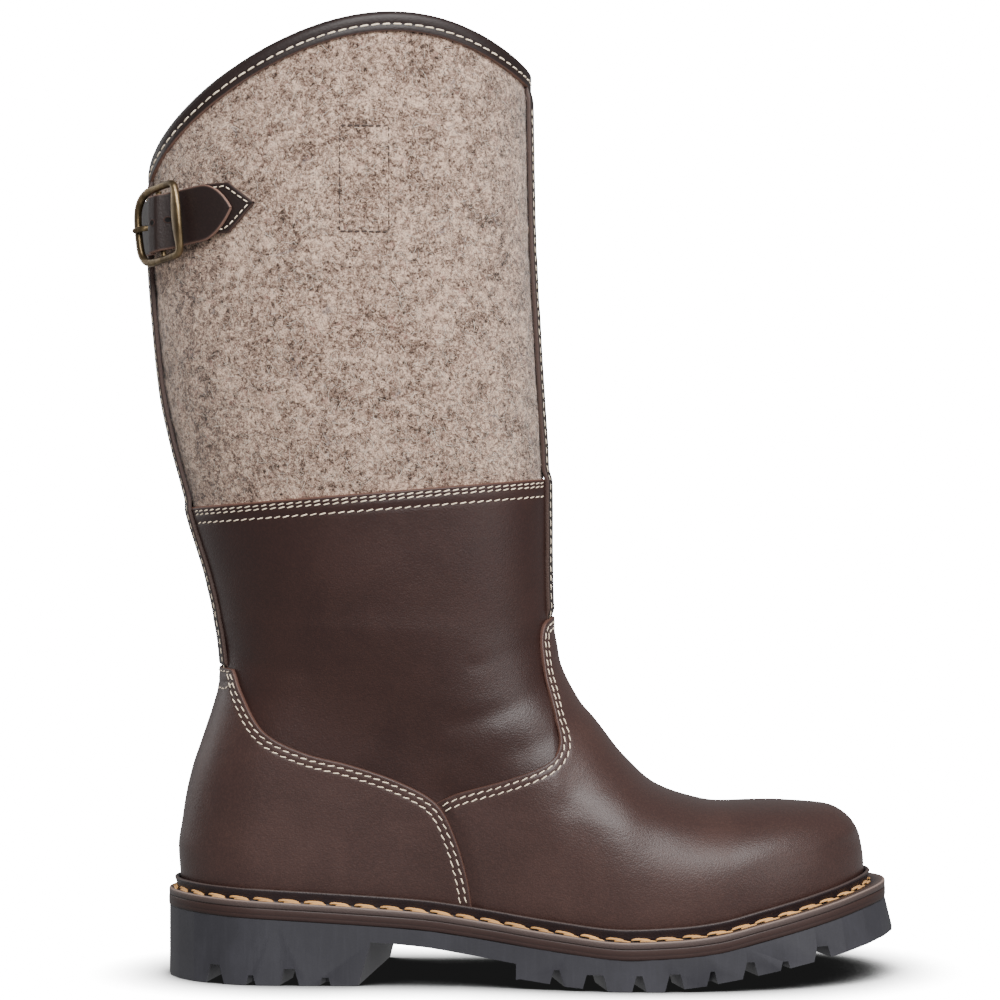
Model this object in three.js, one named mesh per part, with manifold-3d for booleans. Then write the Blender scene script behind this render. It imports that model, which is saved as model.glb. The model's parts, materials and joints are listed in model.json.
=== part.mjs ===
// A tall pull-on boot: leather foot, thick felt shaft, storm welt and lugged rubber sole.
// Right boot in millimetres: +Z up, +X to the toe, lateral side at -Y, standing on Z = 0.
import * as THREE from "three";
import { mergeVertices } from "three/addons/utils/BufferGeometryUtils.js";
import Module from "manifold-3d";

const wasm = await Module();
wasm.setup();

// Driving dimensions of the last and the shaft
const FOOT_LENGTH = 292; // back of the heel to the toe, outside of the leather
const BALL_WIDTH = 98;
const HEEL_ROUND = 36; // length over which the heel rounds out to its full width
const ANKLE_RISE = 116.5; // heel seat to throat
const SHAFT_RISE = 250; // throat to the top of the collar
const SHAFT_WIDTH = 110;
const COLLAR_ARCH = 36; // how far the collar's sides rise over the line from back to front
const TOE_SWING = 9; // the toe's turn to the medial side
const WIDEST_RISE = 16; // height over the bed at which the foot is widest

// Heights of the bed, the midsole's top, over the floor
const HEEL_SEAT = 33.5;
const BALL_SEAT = 17;
const TOE_SEAT = 36;

// Layers and clearances
const GAP = 0.3;
const OVERLAY = 1.4;
const LEATHER = 2;
const FELT = 4.5;
const BINDING = 1.3;
const BINDING_WIDTH = 8.5;
const FELT_TUCK = 0.4; // how far the felt runs down inside the leather, in ring steps
const INSOLE = 3;
const MIDSOLE = 4;
const FLANGE = 2.7;
const LIP = 1.8;
const LIP_HEIGHT = 8;
const LIP_FLARE = 0.5;

// Sole
const HEEL_MARGIN = 6; // how far the sole stands out behind the heel
const SIDE_MARGIN = 7;
const TOE_MARGIN = 10.5;
const TOE_FLARE = 3.4; // how far the rubber leans out under the toe
const TOE_SPRING = 18;
const RUBBER_BASE = 6.5; // thickness over the lugs
const LUG_HEIGHT = 6.5;
const SLOT_LEAN = 0.22; // turn of the side slots in plan, in radians
const BREAST_LEAN = 0.14; // the heel breast runs forward to the medial side by this slope
const BREAST_RAKE = 0.28; // and forward with height by this one
const SLOT_FLARE = 0.27; // how far each wall of a side slot leans out, by this slope
const POCKET_INSET = 19; // width of the row of side lugs
const CLEAT_SIZE = 9;

// Seam strips, strap and buckle
const FRONT_STRIP = 20;
const BACK_STRIP = 24;
const STRIP_STEP = 4; // least height of a strip's last stretch under the binding
const STRAP_WIDTH = 22.8;
const STRAP_THICK = 2.2;
const STRAP_RISE = 168; // middle of the strap over the throat
const TAB_THICK = 2;
const TAB_WIDTH = 21;
const TAB_RAISE = 4.5; // the tab's middle over the strap's middle
const BUCKLE_ANGLE = 0.54; // place of the buckle round the shaft, from the back
const BUCKLE_WIDTH = 27.5;
const BUCKLE_TALL = 37;
const BUCKLE_BAR = 4;
const BUCKLE_DEEP = 3.2;
const BUCKLE_CORNER = 7;
const BUCKLE_LIFT = 5.6; // underside of the buckle over the felt
const BUCKLE_LEAN = 0.14;
const PIN_RADIUS = 1.3;
const PIN_LIFT = 5.4; // middle of the pin over the felt
const LOOP_RADIUS = 2.7;
const PRONG_RADIUS = 1.1;

const STRAP_LEVEL = HEEL_SEAT + ANKLE_RISE + STRAP_RISE; // middle of the strap over the floor

// Depths under the dressed surface, which is the outside of vamp, counter and seam strips
const UPPER_OUT = -(OVERLAY + GAP);
const UPPER_IN = UPPER_OUT - LEATHER;
const FELT_OUT = UPPER_IN - GAP;
const FELT_IN = FELT_OUT - FELT;

// Number of points round each ring
const ROUND = 48;

// Ring names by number, for the pieces that start or end at one
const LIP_RING = 1;
const WIDEST_RING = 2;
const THROAT_RING = 11;
const SEAM_RING = 13;
const COLLAR_RING = 16;

function table(names, rows) {
  return rows.map((row) => Object.fromEntries(names.map((name, i) => [name, row[i]])));
}

// One row for each ring of the upper, from the feather line to the collar. Back and front are shares of
// the foot's length; rises are shares of the ankle's rise, and past 1 of the shaft's; bed is how far the
// ring follows the bed's curve; leg is how far its section is the leg's; half is a share of shaft width.
const RINGS = table(
  ["at", "back", "backRise", "front", "frontRise", "bed", "leg", "half", "arch"],
  [
    [0, 0.003, 0.003, 0.996, 0.003, 1, 0, 0.38, 0],
    [1, -0.001, 0.073, 1.001, 0.077, 1, 0, 0.38, 0],
    [2, -0.004, 0.176, 0.997, 0.173, 1, 0, 0.38, 0],
    [3, 0.001, 0.27, 0.986, 0.246, 1, 0, 0.38, 0],
    [4, 0.007, 0.365, 0.957, 0.324, 1, 0, 0.38, 0],
    [5, 0.016, 0.464, 0.884, 0.388, 1, 0, 0.38, 0],
    [6, 0.031, 0.579, 0.784, 0.448, 1, 0.08, 0.38, 0],
    [7, 0.046, 0.691, 0.692, 0.539, 1, 0.2, 0.38, 0],
    [8, 0.054, 0.775, 0.634, 0.687, 1, 0.42, 0.38, 0],
    [9, 0.055, 0.84, 0.591, 0.814, 1, 0.66, 0.38, 0],
    [10, 0.052, 0.927, 0.56, 0.897, 0.7, 0.86, 0.385, 0],
    [11, 0.047, 1, 0.547, 1.003, 0.35, 1, 0.39, 0],
    [12, 0.034, 1.072, 0.544, 1.064, 0, 1, 0.405, 0],
    [13, 0.004, 1.188, 0.543, 1.24, 0, 1, 0.436, 0],
    [14, -0.04, 1.408, 0.535, 1.408, 0, 1, 0.48, 0],
    [15, -0.0565, 1.664, 0.5236, 1.664, 0, 1, 0.5, 0],
    [16, -0.056, 1.76, 0.519, 1.936, 0, 1, 0.5, 1],
  ],
);

// Half widths of the foot at its widest level, as shares of the ball width, along the foot's length
const PLAN = table(
  ["at", "lateral", "medial"],
  [
    [0, 0.31, 0.31],
    [0.16, 0.335, 0.33],
    [0.33, 0.34, 0.315],
    [0.45, 0.385, 0.31],
    [0.56, 0.455, 0.38],
    [0.66, 0.508, 0.46],
    [0.74, 0.508, 0.482],
    [1, 0.508, 0.482],
  ],
);
const TOE_START = { lateral: 0.68, medial: 0.74 }; // where the plan begins to round to the toe
const TOE_POWER = 2.4;
const TOP_POWER = 2.4;
const SWING_START = 0.5;
const UNDERCUT = 0.05; // how much narrower the feather line is than the widest level
const THROAT_SLOPE = 2.5; // the top line's run behind the throat, where the leg takes over

// The bed along the foot's length: its drop from heel seat to ball, and its rise from ball to toe
const BED = table(
  ["at", "heel", "toe"],
  [
    [0, 1, 0],
    [0.15, 0.86, 0],
    [0.27, 0.73, 0],
    [0.36, 0.61, 0],
    [0.44, 0.43, 0],
    [0.53, 0.2, 0],
    [0.645, 0, 0],
    [0.715, 0, 0.04],
    [0.77, 0, 0.13],
    [0.836, 0, 0.36],
    [0.908, 0, 0.61],
    [0.945, 0, 0.74],
    [1, 0, 0.93],
    [1.03, 0, 1],
  ],
);

// Side slots of the sole: place along the foot, width, height as a share of the lugs', and reach inward
const SLOTS = table(
  ["at", "width", "height", "reach"],
  [
    [0.059, 8.5, 1.2, 22],
    [0.112, 4.2, 0.62, 9],
    [0.167, 8, 1.05, 22],
    [0.218, 4.5, 0.5, 9],
    [0.546, 5.4, 0.95, 22],
    [0.6, 9.8, 1, 22],
    [0.661, 5.8, 1, 22],
    [0.711, 8, 1.05, 22],
    [0.764, 4.6, 0.85, 10],
    [0.818, 6.5, 0.95, 22],
    [0.868, 4.2, 0.5, 10],
    [0.924, 8, 0.8, 22],
  ],
);
const HEEL_SLOTS_END = 0.3;
const HEEL_END = 0.283; // the heel breast, as shares of the foot's length
const WAIST_END = 0.51;
const FLAT = { from: 0.61, to: 0.7 }; // the forefoot's flat spot
const ROCK_BACK = 4; // rise of the tread at the waist's front edge

// Centre cleats, places along the foot
const CLEATS = [0.1, 0.19, 0.6, 0.67, 0.74, 0.81, 0.88];

// Panel edges in side view, as shares of the foot's length and of the ankle's rise over the heel seat
const COUNTER_EDGE = table(
  ["along", "rise"],
  [
    [0.078, 0.826],
    [0.082, 0.804],
    [0.093, 0.738],
    [0.127, 0.61],
    [0.186, 0.534],
    [0.253, 0.49],
    [0.32, 0.432],
    [0.374, 0.356],
    [0.4, 0.243],
    [0.419, 0.084],
    [0.427, -0.06],
  ],
);
const VAMP_EDGE = table(
  ["along", "rise"],
  [
    [0.374, 0.356],
    [0.405, 0.392],
    [0.475, 0.443],
    [0.535, 0.506],
    [0.553, 0.585],
    [0.541, 0.715],
    [0.5305, 0.85],
    [0.528, 0.935],
    [0.533, 0.99],
    [0.545, 1.012],
  ],
);

// Lift of the strap over the felt, along the strap from the buckle's middle
const STRAP_PATH = table(
  ["along", "lift"],
  [
    [-76, 0.3],
    [-66, 0.3],
    [-57, 0.3],
    [-49, 2.1],
    [-40, 2.1],
    [-31, 2.1],
    [-22, 2.1],
    [-14, 2.3],
    [-8.8, 2.7],
    [-5, 5.6],
    [-1.8, 8.5],
    [1.8, 8.5],
    [5, 5.6],
    [8.8, 2.7],
    [15, 2.6],
    [22, 2.6],
    [27, 2.6],
    [32, 2.6],
  ],
);
const STRAP_TIP = 8; // length of the strap's pointed end
const STRAP_TIP_HALF = 0.25; // half width at the point, as a share of the full half width

const TAB_PATH = table(
  ["along", "lift", "half"],
  [
    [1.5, 2.9, 0.9],
    [5, 1.6, 0.95],
    [9, 0.4, 1],
    [22, 0.4, 1],
    [33, 0.4, 0.86],
    [43, 0.4, 0.12],
  ],
);

const PRONG_PATH = table(
  ["along", "lift"],
  [
    [1.5, 12.4],
    [-4, 11.7],
    [-9, 10.5],
    [-14, 10.4],
  ],
);

// Small helpers

function lerp(a, b, t) {
  return a + (b - a) * t;
}

function clamp(x) {
  return Math.min(1, Math.max(0, x));
}

function ease(x) {
  const t = clamp(x);
  return t * t * (3 - 2 * t);
}

// A smooth curve through one column of a table that never swings past its rows.
function smooth(rows, key, x) {
  const last = rows.length - 1;
  const slope = (i) => (rows[i + 1][key] - rows[i][key]) / (rows[i + 1].at - rows[i].at);
  const tangent = (i) => {
    if (i === 0) return slope(0);
    if (i === last) return slope(last - 1);
    const before = slope(i - 1);
    const after = slope(i);
    return before * after > 0 ? (2 * before * after) / (before + after) : 0;
  };
  let i = 0;
  while (i < last - 1 && x > rows[i + 1].at) i += 1;
  const span = rows[i + 1].at - rows[i].at;
  const t = clamp((x - rows[i].at) / span);
  const s = t * t * (3 - 2 * t);
  const start = t * (1 - t) * (1 - t) * span * tangent(i);
  const end = t * t * (1 - t) * span * tangent(i + 1);
  return lerp(rows[i][key], rows[i + 1][key], s) + start - end;
}

function along(share) {
  return HEEL_MARGIN + share * FOOT_LENGTH;
}

function shareAt(x) {
  return (x - HEEL_MARGIN) / FOOT_LENGTH;
}

function bed(x) {
  const share = shareAt(x);
  const drop = (HEEL_SEAT - BALL_SEAT) * smooth(BED, "heel", share);
  return BALL_SEAT + drop + (TOE_SEAT - BALL_SEAT) * smooth(BED, "toe", share);
}

function riseOf(share) {
  return share <= 1 ? share * ANKLE_RISE : ANKLE_RISE + (share - 1) * SHAFT_RISE;
}

// The dressed surface: angle 0 is the back, PI the front, and the lateral side lies between them

function ringEnds(ring) {
  const back = along(smooth(RINGS, "back", ring));
  const front = along(smooth(RINGS, "front", ring));
  const follow = smooth(RINGS, "bed", ring);
  const backRise = riseOf(smooth(RINGS, "backRise", ring));
  const frontRise = riseOf(smooth(RINGS, "frontRise", ring));
  return { back, front, follow, backRise, frontRise };
}

// The top line over the toe, vamp and instep, as heights against places along the foot
const TOP_LINE = [];
const TOP_STEPS = 900;
for (let i = 0; i <= TOP_STEPS; i += 1) {
  const ring = lerp(THROAT_RING, WIDEST_RING, i / TOP_STEPS);
  const ends = ringEnds(ring);
  const z = HEEL_SEAT + ends.frontRise + ends.follow * (bed(ends.front) - HEEL_SEAT);
  TOP_LINE.push({ x: ends.front, z });
}

function topHeight(x) {
  const throat = TOP_LINE[0];
  if (x <= throat.x) return throat.z + THROAT_SLOPE * (throat.x - x);
  let low = 0;
  let high = TOP_STEPS;
  while (high - low > 1) {
    const middle = (low + high) >> 1;
    if (TOP_LINE[middle].x < x) low = middle;
    else high = middle;
  }
  const a = TOP_LINE[low];
  const b = TOP_LINE[high];
  return lerp(a.z, b.z, clamp((x - a.x) / (b.x - a.x)));
}

function footHalf(x, z, side, back, tip) {
  const start = along(TOE_START[side]);
  const plan = BALL_WIDTH * smooth(PLAN, side, shareAt(x));
  const heel = 1 - clamp((x - back) / HEEL_ROUND);
  const toe = clamp((x - start) / (tip - start));
  const widest = bed(x) + WIDEST_RISE;
  const over = clamp((z - widest) / (topHeight(x) - widest));
  const under = clamp((widest - z) / WIDEST_RISE);
  const round = Math.sqrt(1 - heel ** 2) * Math.sqrt(1 - toe ** TOE_POWER);
  const crown = (1 - over ** TOP_POWER) ** (1 / TOP_POWER);
  return plan * round * crown * (1 - UNDERCUT * under ** 2);
}

function collarArch(angle, t) {
  return COLLAR_ARCH * Math.abs(Math.sin(angle)) ** (1.25 + 0.75 * t);
}

function dressed(angle, ring) {
  const ends = ringEnds(ring);
  const side = Math.sin(angle) >= 0 ? "lateral" : "medial";
  const t = (1 - Math.cos(angle)) / 2;
  const leg = smooth(RINGS, "leg", ring);
  const x = lerp(ends.back, ends.front, t);
  const arch = smooth(RINGS, "arch", ring) * collarArch(angle, t);
  const rise = lerp(ends.backRise, ends.frontRise, t) + arch;
  const z = HEEL_SEAT + rise + ends.follow * (bed(x) - HEEL_SEAT);
  const tipShare = ease(ring - WIDEST_RING);
  const tip = lerp(ends.front, ringEnds(LIP_RING).front, tipShare);
  const legHalf = SHAFT_WIDTH * smooth(RINGS, "half", ring) * Math.abs(Math.sin(angle));
  const half = lerp(footHalf(x, z, side, ends.back, tip), legHalf, leg);
  const swing = clamp((x - along(SWING_START)) / (along(1) - along(SWING_START)));
  const middle = (1 - leg) * TOE_SWING * swing ** 2;
  return new THREE.Vector3(x, middle + (side === "lateral" ? -half : half), z);
}

// Outward normal of the dressed surface; it lies level at the feather line, where the sole begins.
function outward(angle, ring) {
  const step = 0.004;
  const round = dressed(angle + step, ring).sub(dressed(angle - step, ring));
  const low = Math.max(0, ring - step);
  const high = Math.min(COLLAR_RING, ring + step);
  const up = dressed(angle, high).sub(dressed(angle, low));
  const normal = round.cross(up);
  normal.z *= clamp(ring / LIP_RING);
  return normal.normalize();
}

function skin(angle, ring, depth) {
  return dressed(angle, ring).addScaledVector(outward(angle, ring), depth);
}

// The ring number at which the shaft reaches a height.
function ringAt(angle, height) {
  let low = SEAM_RING - 2;
  let high = COLLAR_RING;
  for (let i = 0; i < 30; i += 1) {
    const middle = (low + high) / 2;
    if (dressed(angle, middle).z < height) low = middle;
    else high = middle;
  }
  return (low + high) / 2;
}

function onShaft(angle, height, depth) {
  return skin(angle, ringAt(angle, height), depth);
}

// A point under the collar's edge, by its distance square to the edge.
function underCollar(angle, drop, depth) {
  const step = 0.02;
  const run = dressed(angle + step, COLLAR_RING).sub(dressed(angle - step, COLLAR_RING));
  const stretch = Math.hypot(1, run.z / Math.hypot(run.x, run.y));
  return onShaft(angle, dressed(angle, COLLAR_RING).z - drop * stretch, depth);
}

// Geometry builders

function surface(points, triangles) {
  const geometry = new THREE.BufferGeometry();
  geometry.setAttribute(
    "position",
    new THREE.Float32BufferAttribute(points.flatMap((p) => [p.x, p.y, p.z]), 3),
  );
  geometry.setIndex(triangles);
  return facingOut(geometry);
}

// Turns the faces of a closed geometry outward.
function facingOut(geometry) {
  const at = geometry.attributes.position;
  const index = geometry.index.array;
  const [a, b, c] = [new THREE.Vector3(), new THREE.Vector3(), new THREE.Vector3()];
  let volume = 0;
  for (let i = 0; i < index.length; i += 3) {
    a.fromBufferAttribute(at, index[i]);
    b.fromBufferAttribute(at, index[i + 1]);
    c.fromBufferAttribute(at, index[i + 2]);
    volume += a.dot(b.cross(c));
  }
  if (volume < 0) {
    const turned = Array.from(index);
    for (let i = 0; i < turned.length; i += 3) {
      [turned[i + 1], turned[i + 2]] = [turned[i + 2], turned[i + 1]];
    }
    geometry.setIndex(turned);
  }
  return geometry;
}

// Joins closed sections, each a list of as many points, into one body; an open run gets end faces,
// laddered between the section's two long sides.
// Each four-sided patch is split along its shorter diagonal, so that neighbouring layers fold alike.
function sweep(sections, closed) {
  const size = sections[0].length;
  const points = sections.flat();
  const triangles = [];
  const runs = closed ? sections.length : sections.length - 1;
  for (let i = 0; i < runs; i += 1) {
    const next = (i + 1) % sections.length;
    for (let j = 0; j < size; j += 1) {
      const k = (j + 1) % size;
      const [a, b] = [i * size + j, i * size + k];
      const [c, d] = [next * size + j, next * size + k];
      if (points[b].distanceTo(points[c]) < points[a].distanceTo(points[d])) {
        triangles.push(a, c, b, b, c, d);
      } else {
        triangles.push(a, c, d, a, d, b);
      }
    }
  }
  if (!closed) {
    const end = (sections.length - 1) * size;
    for (let j = 0; j < size / 2 - 1; j += 1) {
      const [a, b, c, d] = [j, j + 1, size - 2 - j, size - 1 - j];
      triangles.push(a, b, c, a, c, d, end + a, end + c, end + b, end + a, end + d, end + c);
    }
  }
  return surface(points, triangles);
}

function angles() {
  return Array.from({ length: ROUND }, (_, i) => (i / ROUND) * 2 * Math.PI);
}

// A plate between two loops of ring points, laddered from the lateral to the medial side.
function plate(lower, upper) {
  const n = lower.length;
  const triangles = [];
  const ladder = (base, flip) => {
    const add = (a, b, c) => triangles.push(base + a, base + (flip ? c : b), base + (flip ? b : c));
    for (let i = 0; i < n / 2; i += 1) {
      const [left, right] = [i, (n - i) % n];
      const [nextLeft, nextRight] = [i + 1, n - i - 1];
      if (i > 0) add(left, right, nextLeft);
      if (nextLeft !== nextRight) add(right, nextRight, nextLeft);
    }
  };
  ladder(0, false);
  ladder(n, true);
  for (let i = 0; i < n; i += 1) {
    const next = (i + 1) % n;
    triangles.push(i, next, n + i, next, n + next, n + i);
  }
  return surface([...lower, ...upper], triangles);
}

function solid(geometry) {
  const bare = geometry.clone();
  bare.deleteAttribute("normal");
  bare.deleteAttribute("uv");
  const merged = mergeVertices(bare, 1e-4);
  const vertProperties = new Float32Array(merged.attributes.position.array);
  const triVerts = new Uint32Array(merged.index.array);
  return new wasm.Manifold(new wasm.Mesh({ numProp: 3, vertProperties, triVerts }));
}

function geometryOf(body) {
  const mesh = body.getMesh();
  const geometry = new THREE.BufferGeometry();
  geometry.setAttribute("position", new THREE.Float32BufferAttribute(mesh.vertProperties, 3));
  geometry.setIndex(Array.from(mesh.triVerts));
  return geometry;
}

// Sole pieces

function margin(t) {
  const rear = lerp(HEEL_MARGIN, SIDE_MARGIN, ease(2 * t));
  return lerp(rear, TOE_MARGIN, ease((t - 0.6) / 0.4));
}

function flare(t) {
  return TOE_FLARE * ease((t - 0.75) / 0.25);
}

// The sole's outline, moved out by the margin and more; height gives each point's level.
function outline(more, height) {
  return angles().map((angle) => {
    const t = (1 - Math.cos(angle)) / 2;
    const point = skin(angle, 0, margin(t) + more(t));
    point.z = height(point.x);
    return point;
  });
}

function level(over) {
  return (x) => bed(x) + over;
}

function tread(x) {
  const share = shareAt(x);
  const toe = clamp((share - FLAT.to) / (1.035 - FLAT.to));
  const back = share > WAIST_END - 0.04 ? clamp((FLAT.from - share) / (FLAT.from - WAIST_END)) : 0;
  return TOE_SPRING * toe ** 1.15 + ROCK_BACK * back ** 1.5;
}

// A block that cuts from under the sole up to given heights between two places along the foot.
// Its rear face may rake forward with height.
function cutter(from, to, height, deep, wide, rake = 0) {
  const steps = 8;
  const sections = Array.from({ length: steps + 1 }, (_, i) => {
    const x = along(lerp(from, to, i / steps));
    const z = height(x);
    const lean = lerp(rake, 0, i / steps);
    const corner = (y, over) => new THREE.Vector3(x + lean * over, y, over);
    return [corner(-wide, deep), corner(wide, deep), corner(wide, z), corner(-wide, z)];
  });
  return sweep(sections, false);
}

function waistCutter() {
  const height = level(-MIDSOLE - GAP - RUBBER_BASE);
  const geometry = cutter(HEEL_END, WAIST_END, height, -10, BALL_WIDTH, BREAST_RAKE);
  const lean = new THREE.Matrix4().makeShear(0, 0, BREAST_LEAN, 0, 0, 0);
  return solid(geometry.applyMatrix4(lean));
}

function edgeAt(loop, x, side) {
  const near = loop.filter((p) => Math.sign(p.y) === side);
  near.sort((a, b) => Math.abs(a.x - x) - Math.abs(b.x - x));
  return near[0].y;
}

// A side slot: a trapezoid cut inward from the edge, narrower at its root.
function slotCutter(slot, side, loop) {
  const x = along(slot.at);
  const root = tread(x) + LUG_HEIGHT * slot.height;
  const narrow = slot.width / 2 - SLOT_FLARE * LUG_HEIGHT * slot.height;
  const deep = -LUG_HEIGHT;
  const half = narrow + SLOT_FLARE * (root - deep);
  const shape = new THREE.Shape();
  shape.moveTo(-half, deep);
  shape.lineTo(half, deep);
  shape.lineTo(narrow, root);
  shape.lineTo(-narrow, root);
  shape.closePath();
  const geometry = new THREE.ExtrudeGeometry(shape, { depth: slot.reach + 12, bevelEnabled: false });
  geometry.rotateX(Math.PI / 2);
  geometry.translate(0, 12, 0);
  if (side < 0) geometry.rotateZ(Math.PI);
  const lean = slot.at < HEEL_SLOTS_END ? -SLOT_LEAN : SLOT_LEAN;
  geometry.rotateZ(-side * lean);
  geometry.translate(x, edgeAt(loop, x, side), 0);
  return solid(geometry);
}

// The hollow between the side lugs, with its cleats left standing.
function pocketCutter(from, to) {
  const low = outline(() => -POCKET_INSET, () => -8);
  const high = outline(() => -POCKET_INSET, (x) => tread(x) + LUG_HEIGHT);
  let pocket = solid(plate(low, high)).intersect(solid(cutter(from, to, () => 40, -20, BALL_WIDTH)));
  for (const share of CLEATS) {
    const cleat = new THREE.CylinderGeometry(CLEAT_SIZE, CLEAT_SIZE, 60, 4);
    cleat.rotateX(Math.PI / 2);
    cleat.translate(along(share), 0, 0);
    pocket = pocket.subtract(solid(cleat));
  }
  return pocket;
}

function outsole() {
  const top = outline(() => 0, level(-MIDSOLE - GAP));
  const bottom = outline(flare, tread);
  let body = solid(plate(bottom, top)).subtract(waistCutter());
  for (const slot of SLOTS) {
    for (const side of [-1, 1]) body = body.subtract(slotCutter(slot, side, bottom));
  }
  body = body.subtract(pocketCutter(0.045, 0.24));
  body = body.subtract(pocketCutter(0.56, 0.92));
  return geometryOf(body);
}

function midsole() {
  return plate(outline(() => 0, level(-MIDSOLE)), outline(() => 0, level(0)));
}

function insole() {
  const inner = (over) =>
    angles().map((angle) => {
      const point = skin(angle, 0, UPPER_IN - GAP);
      point.z = bed(point.x) + over;
      return point;
    });
  return plate(inner(GAP), inner(GAP + INSOLE));
}

// The storm welt: a flat flange with a lip turned up against the vamp and counter.
function welt() {
  const lipShare = LIP_HEIGHT / riseOf(smooth(RINGS, "backRise", LIP_RING));
  const sections = angles().map((angle) => {
    const t = (1 - Math.cos(angle)) / 2;
    const foot = (depth, over) => {
      const point = skin(angle, 0, depth);
      point.z = bed(point.x) + over;
      return point;
    };
    return [
      foot(GAP, GAP),
      foot(margin(t), GAP),
      foot(margin(t), GAP + FLANGE),
      foot(GAP + LIP + 0.6, GAP + FLANGE),
      skin(angle, lipShare, GAP + LIP_FLARE + LIP),
      skin(angle, lipShare, GAP + LIP_FLARE),
    ];
  });
  return sweep(sections, true);
}

// Upper and its overlays

const FOOT_RINGS = [0, 1, 2, 3, 4, 5, 5.5, 6, 7, 8, 9, 10, 11];
const UPPER_RINGS = [...FOOT_RINGS, 12, 12.6, SEAM_RING];
const FELT_RINGS = [SEAM_RING - FELT_TUCK, SEAM_RING, 13.6, 14.3, 15, 15.5];

function wall(rings, outer, inner) {
  return sweep(
    angles().map((angle) => [
      ...rings.map((ring) => skin(angle, ring, outer)),
      ...[...rings].reverse().map((ring) => skin(angle, ring, inner)),
    ]),
    true,
  );
}

function upper() {
  return wall(UPPER_RINGS, UPPER_OUT, UPPER_IN);
}

function edgePoints(rows) {
  return rows.map((row) => new THREE.Vector2(along(row.along), HEEL_SEAT + row.rise * ANKLE_RISE));
}

// A panel's outline in side view becomes a block across the whole foot.
function panelBlock(edge, corners) {
  const curve = new THREE.SplineCurve(edge);
  const shape = new THREE.Shape([...curve.getPoints(26), ...corners]);
  const geometry = new THREE.ExtrudeGeometry(shape, { depth: 4 * BALL_WIDTH, bevelEnabled: false });
  geometry.rotateX(Math.PI / 2);
  geometry.translate(0, 2 * BALL_WIDTH, 0);
  return solid(geometry);
}

function counterBlock(spread) {
  const edge = edgePoints(COUNTER_EDGE).map((p) => p.add(new THREE.Vector2(spread, spread)));
  const low = HEEL_SEAT - ANKLE_RISE;
  const corners = [new THREE.Vector2(edge.at(-1).x, low), new THREE.Vector2(-ANKLE_RISE, low)];
  corners.push(new THREE.Vector2(-ANKLE_RISE, edge[0].y));
  return panelBlock(edge, corners);
}

function vampBlock() {
  const edge = edgePoints(VAMP_EDGE);
  const far = along(1.2);
  const low = HEEL_SEAT - ANKLE_RISE;
  const corners = [new THREE.Vector2(far, edge.at(-1).y), new THREE.Vector2(far, low)];
  corners.push(new THREE.Vector2(edge[0].x - 4, low), new THREE.Vector2(edge[0].x - 4, edge[0].y));
  return panelBlock(edge, corners).subtract(counterBlock(GAP));
}

function overlays() {
  const shell = solid(wall([...FOOT_RINGS, 12], 0, -OVERLAY));
  return {
    vamp: geometryOf(shell.intersect(vampBlock())),
    counter: geometryOf(shell.intersect(counterBlock(0))),
  };
}

function feltShaft() {
  const topDrop = BINDING + GAP;
  return sweep(
    angles().map((angle) => [
      ...FELT_RINGS.map((ring) => skin(angle, ring, FELT_OUT)),
      underCollar(angle, topDrop, FELT_OUT),
      underCollar(angle, topDrop, FELT_IN),
      ...[...FELT_RINGS].reverse().map((ring) => skin(angle, ring, FELT_IN)),
    ]),
    true,
  );
}

// The folded binding: down the outside, over the felt's top edge and down the inside.
function topBinding() {
  const out = FELT_OUT + GAP;
  const inside = FELT_IN - GAP;
  return sweep(
    angles().map((angle) => [
      underCollar(angle, BINDING_WIDTH, out),
      underCollar(angle, BINDING_WIDTH, out + BINDING),
      underCollar(angle, BINDING, out + BINDING + 0.2),
      underCollar(angle, 0, out - 0.6),
      underCollar(angle, 0, inside + 0.6),
      underCollar(angle, BINDING, inside - BINDING),
      underCollar(angle, BINDING_WIDTH, inside - BINDING),
      underCollar(angle, BINDING_WIDTH, inside),
      underCollar(angle, BINDING, inside),
      underCollar(angle, BINDING, out),
    ]),
    true,
  );
}

// A leather strip over the shaft's front or back seam; it steps down where leather gives way to felt.
function seamStrip(middle, width, low) {
  const step = (2 * Math.PI) / ROUND;
  const edge = (ring) => width / 2 / (SHAFT_WIDTH * smooth(RINGS, "half", ring));
  const section = (ring, place) => {
    const turns = [-edge(ring), -step, 0, step, edge(ring)].map((turn) => middle + turn);
    return [
      ...turns.map((angle) => place(angle, 0)),
      ...turns.reverse().map((angle) => place(angle, -OVERLAY)),
    ];
  };
  const onFelt = FELT_OUT + GAP + OVERLAY;
  const top = underCollar(middle, BINDING_WIDTH + GAP, onFelt).z;
  const onLeather = [low, ...UPPER_RINGS.filter((ring) => ring > low), SEAM_RING + 0.02];
  const above = [SEAM_RING + 0.08, ...FELT_RINGS.filter((ring) => ring > SEAM_RING)];
  const overFelt = above.filter((ring) => dressed(middle, ring).z < top - STRIP_STEP);
  return sweep(
    [
      ...onLeather.map((ring) => section(ring, (angle, depth) => skin(angle, ring, depth))),
      ...overFelt.map((ring) => section(ring, (angle, depth) => skin(angle, ring, onFelt + depth))),
      section(COLLAR_RING, (angle, depth) =>
        underCollar(angle, BINDING_WIDTH + GAP, onFelt + depth),
      ),
    ],
    false,
  );
}

// Strap and buckle at the back of the collar

// The angle round the shaft at a distance along the strap from the buckle's middle.
function angleAlong(distance) {
  const steps = 40;
  let angle = BUCKLE_ANGLE;
  for (let i = 0; i < steps; i += 1) {
    const here = onShaft(angle, STRAP_LEVEL, FELT_OUT);
    const near = onShaft(angle + 0.01, STRAP_LEVEL, FELT_OUT);
    angle += (0.01 * distance) / steps / here.distanceTo(near);
  }
  return angle;
}

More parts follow.
